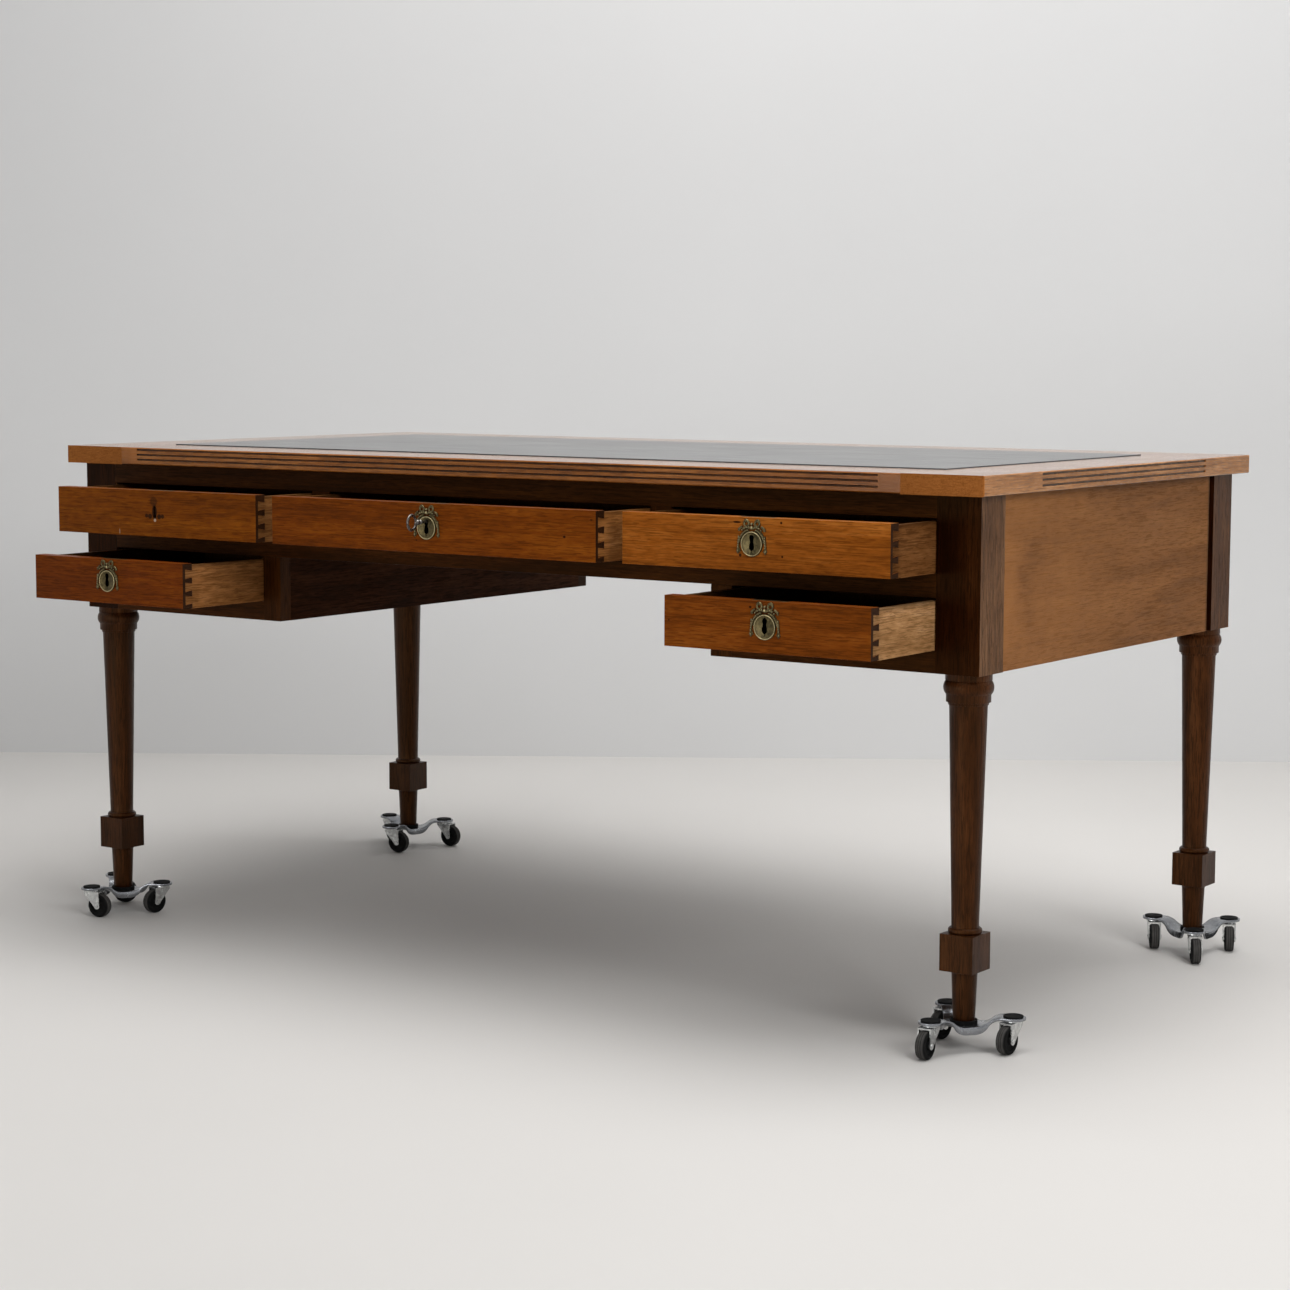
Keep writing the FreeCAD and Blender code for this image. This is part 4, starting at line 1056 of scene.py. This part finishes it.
@dataclass
class Case:
    """Rails, end panels and the boards inside. Metres, but the painted shade at the panels' gaps is a reach
    and a strength.
    """

    arris: float = 0.0006
    kneehole: float = 0.415
    stile: float = 0.036
    divider_inner: float = 0.309
    divider_outer: float = 0.345
    frieze_low: float = 0.6605
    frieze_high: float = 0.736
    stile_top: float = 0.6275
    post: float = 0.068
    shrink_gap: float = 0.01
    gap_shade: tuple[float, float] = (0.009, 0.95)
    reach: float = 0.001

    def rails(self, middle: Vector, normal: Vector) -> bpy.types.Material:
        """Rails run along the length, stiles and dividers upright.

        Args:
            middle: A face's middle.
            normal: Its normal, which is not used.

        Returns:
            Its finish.
        """
        x, z = abs(middle.x), middle.z
        divider = self.divider_inner <= x <= self.divider_outer and self.frieze_low < z < self.frieze_high
        stile = self.kneehole - self.reach <= x <= self.kneehole + self.stile and z < self.stile_top
        grain = Grain.UPRIGHT if divider or stile else Grain.LENGTH
        return FRAME_WOOD.along(grain).material()

    def boards(self, middle: Vector, normal: Vector) -> bpy.types.Material:
        """Raw boards inside, waxed where they face the kneehole."""
        open_side = abs(abs(middle.x) - self.kneehole) < 3 * self.reach and abs(normal.x) > FACING
        return (KNEEHOLE_WOOD if open_side else BOARD_WOOD).material()

    def panel(self) -> Chooser:
        """An end panel is painted lighter towards its front as painted light, and painted dark as shade in
        the gap that it has shrunk away from.

        Returns:
            The chooser for an end panel.
        """
        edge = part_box("leg_back_right")[1].y - self.post - self.shrink_gap
        # Painted shade: the board darkens next to the gap, and the gap's own faces take the dark end grain.
        board = replace(PANEL_WOOD, dirt_and_shade=(DirtAndPaintedLight(Grain.DEPTH, edge, *self.gap_shade),)).material()
        gap = FRONT_END.material()
        return lambda middle, normal: gap if middle.y > edge - 0.4 * self.reach else board

    def build(self) -> None:
        """Dress the case."""
        for side in ("front", "back"):
            dress(f"{side}_rails", self.rails, self.arris)
        for side in ("left", "right"):
            dress(f"side_panel_{side}", self.panel(), self.arris)
        dress("inner_boards", self.boards)


@dataclass
class Legs:
    """The turned legs with their posts. Metres and degrees."""

    post_bottom: float = 0.524
    arris: float = 0.0007
    sharp: float = 70.0

    def choose(self, middle: Vector, normal: Vector) -> bpy.types.Material:
        """Posts carry painted light: darker, shaded copies of the leg's wood on their front and rear faces
        and paler, lit copies on the others.

        Args:
            middle: A face's middle.
            normal: Its normal.

        Returns:
            Its finish.
        """
        if middle.z < self.post_bottom or abs(normal.z) > FACING:
            return LEG_WOOD.material()
        if abs(normal.y) > FACING:
            return POST_SHADED.material()
        return (POST_LIT if middle.y < 0 else REAR_POST_LIT).material()

    def build(self) -> None:
        """Dress the legs."""
        for corner in CORNERS:
            dress(f"leg_{corner}", self.choose, self.arris, self.sharp)


@dataclass
class KeyPlate:
    """A cast brass key plate: rimmed medallion, ribbon bow, laurel bands and hanging tails.

    Millimetres and degrees, with places counted from the disc's middle and given for the right half. The
    bands and the tail count their radius from the disc's edge, and centre is a share of the drawer
    front's height.
    """

    radius: float = 17.4
    rim: float = 2.3
    field: float = 1.5
    proud: float = 2.8
    keyhole_lift: float = 2.0
    keyhole_half: tuple[float, float] = (4.3, 10.6)
    keyhole_waist: float = 0.36
    flats: int = 64
    centre: float = 0.503
    knot: Leaf = Leaf(5.6, 6.4, 3.8)
    knot_at: Point = (0, 22.6, 1.2)
    crest: Leaf = Leaf(4.2, 5.4, 3.2)
    crest_at: Point = (0, 27.6, 1.0)
    loop: Bar = Bar(3.7, 1.75, 1.2)
    loop_at: Point = (8.6, 27.6, 1.0)
    loop_crease: float = 0.16
    loop_lean: float = 16.0
    ribbon: Bar = Bar(12.0, 1.6, 1.2)
    ribbon_at: Point = (7.6, 10.6, 1.1)
    fold: Bar = Bar(7.4, 1.7, 1.1)
    fold_at: Point = (13.4, 16.4, 1.0)
    bow_leaf: Leaf = Leaf(3.4, 2.6, 3.0)
    bow_end: Leaf = Leaf(6.8, 4.4, 2.6)
    bow_end_at: Point = (20.2, 20.2, 1.0)
    inner_band: Bar = Bar(1.2, 0.9, 1.5)
    outer_band: Bar = Bar(4.3, 0.8, 1.2)
    laurel_leaf: Leaf = Leaf(5.0, 2.7, 3.0)
    laurel_ring: float = 2.8
    laurel_step: float = 7.4
    tail: Bar = Bar(4.6, 1.3, 1.3)
    tail_leaf: Leaf = Leaf(5.6, 3.8, 3.0)
    tail_drops: tuple[float, ...] = (8.6, 5.2, 1.8, -1.6, -5.0)
    tail_end: Leaf = Leaf(9.0, 5.2, 2.8)
    tail_end_at: Point = (22.4, -10.0, 1.0)

    def medallion(self, piece: Piece) -> None:
        """The disc with its rim and its keyhole.

        Args:
            piece: The plate's mesh.
        """
        inner = self.radius - self.rim
        rim = [
            (self.radius, 0.0),
            (self.radius, 1.7),
            (self.radius - 0.45, 2.5),
            (self.radius - 1.1, self.proud),
            (self.radius - 1.75, 2.5),
            (inner, self.field + 0.2),
            (inner - 0.5, self.field),
        ]
        turned = piece.turn(rim, self.flats)
        edge_radius = (inner - 0.5) * MM
        outer = [vert for vert in turned if abs(vert.co.xy.length - edge_radius) < 1e-6]
        hole = bmesh.ops.create_circle(piece.mesh, segments=self.flats, radius=1.0)["verts"]
        half_x, half_y = self.keyhole_half
        for vert in hole:
            rise = vert.co.y
            waist = 1 - self.keyhole_waist * math.exp(-(((rise - 0.1) / 0.34) ** 2))
            width = math.sqrt(max(0.0, 1 - rise**6)) * waist * (0.94 if rise > 0 else 1.0)
            side = math.copysign(1.0, vert.co.x) if abs(vert.co.x) > 1e-6 else 0.0
            vert.co = Vector((side * width * half_x, rise * half_y + self.keyhole_lift, self.field)) * MM
        bmesh.ops.bridge_loops(piece.mesh, edges=piece.edges_of(outer) + piece.edges_of(hole))
        wall = bmesh.ops.extrude_edge_only(piece.mesh, edges=piece.edges_of(hole))["geom"]
        deep = [item for item in wall if isinstance(item, bmesh.types.BMVert)]
        bmesh.ops.translate(piece.mesh, vec=(0, 0, -1.5 * self.field * MM), verts=deep)

    def beside(self, at: Point, side: int) -> Point:
        """A place on the right half, or its mirror image on the left."""
        return at[0] * side, at[1], at[2]

    def bow(self, piece: Piece, side: int) -> None:
        """One half of the ribbon bow: a round loop with a crease, a crossing ribbon and its end.

        Args:
            piece: The plate's mesh.
            side: -1 for the left half, 1 for the right.
        """
        loop = piece.hoop(self.loop, 0, 360)
        for vert in loop:
            vert.co.y *= 1.0 + self.loop_crease * max(0.0, vert.co.y / (self.loop.radius * MM))
        lean = Matrix.Rotation(math.radians(-self.loop_lean * side), 4, "Z")
        piece.move(loop, shifted(self.beside(self.loop_at, side)) @ lean)
        ribbon = piece.hoop(self.ribbon, 62, 62)
        piece.move(ribbon, shifted(self.beside(self.ribbon_at, side)))
        fold = piece.hoop(self.fold, 8 if side > 0 else 104, 68)
        piece.move(fold, shifted(self.beside(self.fold_at, side)))
        for count in range(4):
            at = (4.4 + 3.6 * count, 23.6 - 0.5 * count**2, 1.1)
            piece.leaf(self.bow_leaf, self.beside(at, side), 68 * side)
        piece.leaf(self.bow_end, self.beside(self.bow_end_at, side), -52 * side)

    def laurel(self, piece: Piece, side: int) -> None:
        """A double band of leaves hugging the upper half, and the tail that hangs from it.

        Args:
            piece: The plate's mesh.
            side: -1 for the left half, 1 for the right.
        """
        start, sweep = (4, 72) if side > 0 else (104, 72)
        piece.hoop(self.inner_band.outside(self.radius), start, sweep)
        piece.hoop(self.outer_band.outside(self.radius), start, sweep - 6 if side > 0 else sweep)
        for count in range(9):
            angle = 10 + count * self.laurel_step
            turn = angle if side > 0 else 180 - angle
            way, reach = math.radians(turn), self.radius + self.laurel_ring
            at = (math.cos(way) * reach, math.sin(way) * reach, 1.0)
            piece.leaf(self.laurel_leaf, at, turn + 90 + 26 * side)
        piece.hoop(self.tail.outside(self.radius), -30 if side > 0 else 164, 46)
        for count, drop in enumerate(self.tail_drops):
            lean = 22 if count % 2 else -22
            at = (20.9 + 0.3 * count, drop, 1.0)
            piece.leaf(self.tail_leaf, self.beside(at, side), 90 + side * lean)
        piece.leaf(self.tail_end, self.beside(self.tail_end_at, side), 90 - 8 * side)

    def build(self, word: str) -> None:
        """Make the plate of one drawer.

        Args:
            word: The drawer's place.
        """
        low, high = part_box(f"drawer_front_{word}")
        piece = Piece(f"key_plate_{word}")
        self.medallion(piece)
        piece.leaf(self.knot, self.knot_at, 0)
        piece.leaf(self.crest, self.crest_at, 90)
        for side in (-1, 1):
            self.bow(piece, side)
            self.laurel(piece, side)
        piece.note(Proud.UP, 1.3, self.proud)
        middle = Vector(((low.x + high.x) / 2, low.y, low.z + self.centre * (high.z - low.z)))
        place = Matrix.Translation(middle) @ Matrix.Rotation(math.radians(90), 4, "X")
        piece.finish(f"front_drawer_{word}", BRASS, place, "brass", [f"lock_{word}"])


@dataclass
class LockCase:
    """The lock let into the back of a drawer front.

    Metres, but the screw's profile and the heights over which it wears bright with a painted highlight are in
    millimetres, and keyhole is a share of the front's height.
    """

    width: float = 0.058
    depth: float = 0.012
    plate: float = 0.0012
    bolt_clear: float = 0.0003
    bolted: str = "upper_centre"
    keyhole: float = 0.53
    below_keyhole: float = 0.0121
    arris: float = 0.0004
    screw_inset: float = 0.005
    screw: tuple[tuple[float, float], ...] = ((0.01, 0.6), (1.6, 0.5), (2.4, 0.2), (2.6, 0.0))
    screw_flats: int = 20
    worn: tuple[float, float] = (5.0, 6.0)

    def sink(self, piece: Piece, middle: Vector, height: float) -> None:
        """Sink the bolt's slot into the top of the case.

        Args:
            piece: The case before it is placed, with its top towards -y and its back towards +z.
            middle: Where the case's middle will stand.
            height: The case's height.
        """
        low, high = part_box("lock_bolt")
        half = (high.x - low.x) / 2 + self.bolt_clear
        front, back = low.y - middle.y - self.bolt_clear, high.y - middle.y + self.bolt_clear
        sides = [((side, 0, 0), (1, 0, 0)) for side in (-half, half)]
        ends = [((0, 0, end), (0, 0, 1)) for end in (front, back)]
        for at, normal in sides + ends:
            whole = [*piece.mesh.verts, *piece.mesh.edges, *piece.mesh.faces]
            bmesh.ops.bisect_plane(piece.mesh, geom=whole, plane_co=at, plane_no=normal, dist=1e-7)
        piece.mesh.normal_update()
        mouth = []
        for face in piece.mesh.faces:
            centre = face.calc_center_median()
            if face.normal.y < -FACING and abs(centre.x) < half and front < centre.z < back:
                mouth.append(face)
        floor = bmesh.ops.extrude_discrete_faces(piece.mesh, faces=mouth)["faces"]
        depth = middle.z + height / 2 - low.z + self.bolt_clear
        verts = list({vert for face in floor for vert in face.verts})
        bmesh.ops.translate(piece.mesh, vec=(0, depth, 0), verts=verts)

    def build(self, word: str, replaces: Iterable[str]) -> None:
        """Make one lock case with its screws.

        Args:
            word: The drawer's place.
            replaces: The CAD nodes that it stands for.
        """
        low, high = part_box(f"drawer_front_{word}")
        floor = low.z + self.keyhole * (high.z - low.z) - self.below_keyhole
        height, thick = high.z - floor, self.depth - self.plate
        piece = Piece(f"lock_case_{word}")
        block = bmesh.ops.create_cube(piece.mesh, size=1.0)["verts"]
        piece.move(block, Matrix.Diagonal((self.width, height, thick, 1)))
        bmesh.ops.bevel(
            piece.mesh,
            geom=piece.edges_of(block),
            offset=self.arris,
            segments=2,
            profile=0.5,
            affect="EDGES",
            material=-1,
        )
        middle = Vector(((low.x + high.x) / 2, high.y - (self.depth + self.plate) / 2, (floor + high.z) / 2))
        if word == self.bolted:
            self.sink(piece, middle, height)
        for across in (-1, 1):
            for up in (-1, 1):
                screw = piece.turn(self.screw, self.screw_flats)
                x, y = across * (self.width / 2 - self.screw_inset), up * (height / 2 - self.screw_inset)
                piece.move(screw, Matrix.Translation((x, y, thick / 2)))
        piece.note(Proud.UP, *self.worn)
        place = Matrix.Translation(middle) @ Matrix.Rotation(math.radians(-90), 4, "X")
        piece.finish(f"front_drawer_{word}", BRASS, place, "brass", replaces)


@dataclass
class Drawers:
    """Fronts, boxes, locks and key plates. Metres, but dirt is a reach and a strength."""

    arris: float = 0.0006
    lap: float = 0.0205
    side: float = 0.0115
    bare: str = "upper_left"
    hand_dirt: tuple[float, float] = (0.009, 0.6)
    wax_dirt: tuple[float, float] = (0.03, 0.35)

    def front(self, word: str) -> Chooser:
        """A front has a waxed face and edges, and end grain at its two ends.

        Args:
            word: The drawer's place.

        Returns:
            The chooser for its front.
        """
        wood = FRONT_WOOD.toned(word, FRONT_TONES[word])
        face = replace(wood, marks=FRONT_MARKS.get(word, ()), chips=FRONT_CHIPS.get(word, ())).material()
        ends = FRONT_END.material()
        return lambda middle, normal: ends if abs(normal.x) > FACING else face

    def box(self, word: str) -> Chooser:
        """A box is raw wood, soiled by hands along its top edge and by wax next to the front.

        Args:
            word: The drawer's place.

        Returns:
            The chooser for its box.
        """
        low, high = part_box(f"drawer_box_{word}")
        # Both bands here are real dirt.
        dirt_and_shade = (DirtAndPaintedLight(Grain.UPRIGHT, high.z, *self.hand_dirt), DirtAndPaintedLight(Grain.DEPTH, low.y, *self.wax_dirt))
        outside = replace(RAW_WOOD.toned(word, SIDE_TONES[word]), dirt_and_shade=dirt_and_shade).material()
        inside = SHADED_INSIDE_WOOD.material()
        reach = (high - low) / 2
        middle_x = (low.x + high.x) / 2

        def choose(middle: Vector, normal: Vector) -> bpy.types.Material:
            """Choose for one face: the sides' outer faces and edges are outside.

            Args:
                middle: The face's middle.
                normal: Its normal.

            Returns:
                Its finish.
            """
            depth = reach.x - abs(middle.x - middle_x)
            on_side = depth < self.side and (abs(normal.x) < FACING or depth < self.side / 2)
            return outside if on_side else inside

        return choose

    def rear(self, word: str) -> Chooser:
        """A rear drawer is one node: front, box and lock.

        Args:
            word: The drawer's place.

        Returns:
            The chooser for it.
        """
        _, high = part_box(f"back_drawer_{word}")
        face = FRONT_WOOD.material()
        raw = RAW_WOOD.material()
        return lambda middle, normal: face if middle.y > high.y - self.lap else raw

    def build(self) -> None:
        """Dress and finish every drawer."""
        plate, case = KeyPlate(), LockCase()
        for word in FRONT_WORDS:
            dress(f"drawer_front_{word}", self.front(word), self.arris)
            dress(f"drawer_box_{word}", self.box(word), self.arris)
            dress(f"back_drawer_{word}", self.rear(word), self.arris)
            if word == self.bare:
                case.build(word, [f"lock_{word}"])
            else:
                case.build(word, [])
                plate.build(word)


@dataclass
class Key:
    """The steel key in the centre drawer, and the bolt that it throws. Millimetres."""

    shank: float = 2.3
    bow: Bar = Bar(9.4, 2.0, 1.8)
    bow_stretch: float = 1.14
    proud: float = 25.5
    bit: Point = (2.2, 9.0, 5.5)
    bit_middle: Point = (0.0, -4.5, -14.5)
    bolt_arris: float = 0.4
    flats: int = 28

    def profile(self) -> list[tuple[float, float]]:
        """The turned shank with its collars.

        Returns:
            Pairs of radius and height, from the tip in the lock to the bow.
        """
        return [
            (0.01, -18.0),
            (self.shank, -17.5),
            (self.shank, 14.0),
            (3.0, 14.6),
            (3.9, 16.2),
            (3.0, 17.8),
            (2.7, 18.6),
            (3.6, 19.6),
            (4.4, 22.0),
            (3.6, 24.4),
            (2.6, 25.2),
            (2.4, self.proud),
            (0.01, self.proud + 0.5),
        ]

    def build(self) -> None:
        """Make the key and dress the bolt."""
        piece = Piece("door_key")
        piece.turn(self.profile(), self.flats)
        ring = piece.hoop(self.bow, 0, 360)
        lift = Matrix.Translation((0, 0, (self.proud + self.bow.radius) * MM))
        stand = lift @ Matrix.Rotation(math.radians(90), 4, "Y")
        piece.move(ring, stand @ Matrix.Diagonal((1.0, self.bow_stretch, 1.0, 1)))
        bit = bmesh.ops.create_cube(piece.mesh, size=MM)["verts"]
        piece.move(bit, shifted(self.bit_middle) @ Matrix.Diagonal((*self.bit, 1)))
        axis = Matrix.Translation(Vector(joint_called("key_turn")["pos_m"]))
        place = axis @ Matrix.Rotation(math.radians(90), 4, "X")
        piece.finish("key", KEY_STEEL, place, "key_steel", ["key"])
        dress("lock_bolt", plain(KEY_STEEL), self.bolt_arris * MM)


@dataclass
class Dollies:
    """Pressed plates, rubbers and castors. Millimetres."""

    wheel: float = 20.0
    half_width: float = 7.5
    bore: float = 2.6
    hub: float = 6.0
    tyre: float = 13.6
    flats: int = 40
    plate_arris: float = 0.5
    rubber_arris: float = 0.8
    fork_arris: float = 0.4

    def profile(self) -> list[tuple[float, float]]:
        """Half the wheel's section.

        Returns:
            Pairs of radius and height, from the bore over the hub and web to the middle of the tread.
        """
        width, radius = self.half_width, self.wheel
        return [
            (self.bore, width),
            (self.hub - 0.6, width),
            (self.hub, width - 0.6),
            (self.hub + 0.4, width - 2.2),
            (self.tyre - 0.6, width - 2.4),
            (self.tyre, width - 0.7),
            (self.tyre + 1.2, width - 0.1),
            (radius - 2.6, width - 0.3),
            (radius - 1.0, width - 1.2),
            (radius - 0.3, width - 2.6),
            (radius, width - 3.6),
            (radius, 2.2),
            (radius - 0.45, 1.9),
            (radius - 0.45, 1.3),
            (radius, 1.0),
        ]

    def make_wheel(self, name: str) -> None:
        """Make one wheel in the place of its node.

        Args:
            name: Its dolly's corner and its own number.
        """
        joint = joint_called(f"wheel_{name}_roll")
        piece = Piece(f"castor_tyre_{name}")
        half = self.profile()
        other = [(radius, -height) for radius, height in reversed(half)]
        piece.turn(half + other + half[:1], self.flats)
        piece.note(Proud.OUT, self.wheel - 0.55, self.wheel - 0.2)
        aim = Vector(joint["axis"]).to_track_quat("Z", "Y").to_matrix().to_4x4()
        place = Matrix.Translation(Vector(joint["pos_m"])) @ aim
        piece.finish(f"wheel_{name}", WHEEL_RUBBER, place, "wheel_black", [f"castor_wheel_{name}"])

    def build(self) -> None:
        """Dress the dollies and make their wheels."""
        dress("dolly_plates", plain(GREY_PAINT), self.plate_arris * MM)
        dress("dolly_rubbers", plain(PAD_RUBBER), self.rubber_arris * MM)
        for corner in CORNERS:
            for count in (1, 2, 3):
                name = f"{corner}_{count}"
                dress(f"castor_fork_{name}", plain(ZINC), self.fork_arris * MM)
                self.make_wheel(name)


@dataclass(frozen=True)
class Lamp:
    """A rectangular soft light, in metres and watts. One that would burn the waxed top out isn't mirrored."""

    name: str
    at: Point
    aim: Point
    size: tuple[float, float]
    power: float
    mirrored: bool = True

    def build(self) -> None:
        """Hang the lamp."""
        data = bpy.data.lights.new(self.name, "AREA")
        data.shape = "RECTANGLE"
        data.size, data.size_y = self.size
        data.energy = self.power
        made = bpy.data.objects.new(self.name, data)
        made.visible_camera = False
        made.visible_glossy = self.mirrored
        made.location = self.at
        made.rotation_euler = (Vector(self.aim) - Vector(self.at)).to_track_quat("-Z", "Y").to_euler()
        bpy.context.scene.collection.objects.link(made)


@dataclass
class Studio:
    """Floor, wall, soft lights and the camera.

    Metres and degrees, but lens and sensor are in millimetres. The eye is counted from the floor below the
    middle of the writing sheet.
    """

    eye: Point = (2.64082, -3.75244, 0.97462)
    yaw: float = 35.06
    pitch: float = -6.193
    roll: float = -0.148
    lens: float = 78.35
    sensor: float = 36.0
    sight: float = 60.0
    sheet_half: float = 14.0
    wall_distance: float = 6.54
    wall_turn: float = -2.0
    air_tint: Colour = (1.0, 0.995, 0.985)
    air_light: float = 0.05
    air_seen: float = 0.7
    floor: Backdrop = Backdrop("pale_floor", (0.735, 0.715, 0.69), 0.6, 3.0)
    wall: Backdrop = Backdrop("pale_wall", (0.72, 0.72, 0.72), 0.8, 3.8)
    lamps: tuple[Lamp, ...] = (
        Lamp("ceiling_light", (0.5, -0.3, 3.4), (0.3, 0.0, 0.0), (3.0, 2.6), 104.0),
        Lamp("side_light", (3.9, -1.9, 2.3), (0.4, 0.1, 0.6), (2.0, 1.6), 80.0, False),
        Lamp("front_light", (-0.6, -5.4, 0.7), (-0.2, 0.0, 0.65), (3.0, 0.8), 40.0),
        Lamp("wall_light", (1.2, 1.6, 3.8), (-0.6, 3.4, 1.8), (3.0, 1.2), 22.0),
    )

    def air(self) -> None:
        """A world that is pale to look at and to be mirrored, and adds little light of its own."""
        world = bpy.data.worlds.new("studio_air")
        bpy.context.scene.world = world
        paint = Paint(world)
        level = paint.seen() * (self.air_seen - self.air_light) + self.air_light
        paint.set(color=self.air_tint, strength=level)

    def sheet(self, name: str, place: Matrix, finish: Finish) -> None:
        """Make one large flat sheet of the studio.

        Args:
            name: Its name.
            place: From its local frame to the desk's.
            finish: Its finish.
        """
        mesh = bmesh.new()
        bmesh.ops.create_grid(mesh, x_segments=1, y_segments=1, size=self.sheet_half)
        bmesh.ops.transform(mesh, matrix=place, verts=mesh.verts)
        data = bpy.data.meshes.new(name)
        mesh.to_mesh(data)
        mesh.free()
        data.materials.append(finish.material())
        made = bpy.data.objects.new(name, data)
        bpy.context.scene.collection.objects.link(made)

    def build(self) -> None:
        """Set the studio up."""
        self.sheet("floor", Matrix.Identity(4), self.floor)
        low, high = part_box("writing_surface")
        eye = Vector(self.eye) + Vector((0, (low.y + high.y) / 2, 0))
        forward = Matrix.Rotation(math.radians(self.yaw), 4, "Z") @ Vector((0, 1, 0))
        middle = Vector((eye.x, eye.y, 0)) + forward * self.wall_distance
        turn = Matrix.Rotation(math.radians(self.yaw + self.wall_turn), 4, "Z")
        stand = turn @ Matrix.Rotation(math.radians(90), 4, "X")
        self.sheet("wall", Matrix.Translation(middle) @ stand, self.wall)
        for lamp in self.lamps:
            lamp.build()
        self.air()
        view = bpy.data.cameras.new("photo_view")
        view.sensor_width = self.sensor
        view.lens = self.lens
        view.clip_end = self.sight
        camera = bpy.data.objects.new("photo_view", view)
        camera.location = eye
        turns = (90 + self.pitch, self.roll, self.yaw)
        camera.rotation_euler = tuple(math.radians(angle) for angle in turns)
        bpy.context.scene.collection.objects.link(camera)
        bpy.context.scene.camera = camera
        bpy.context.scene.view_settings.view_transform = "Standard"


def main() -> None:
    """Build and dress the desk, then the studio round it."""
    logging.basicConfig(level=logging.INFO, format="%(message)s")
    for part in (Top(), Case(), Legs(), Drawers(), Key(), Dollies(), Studio()):
        part.build()


if __name__ == "__main__":
    main()
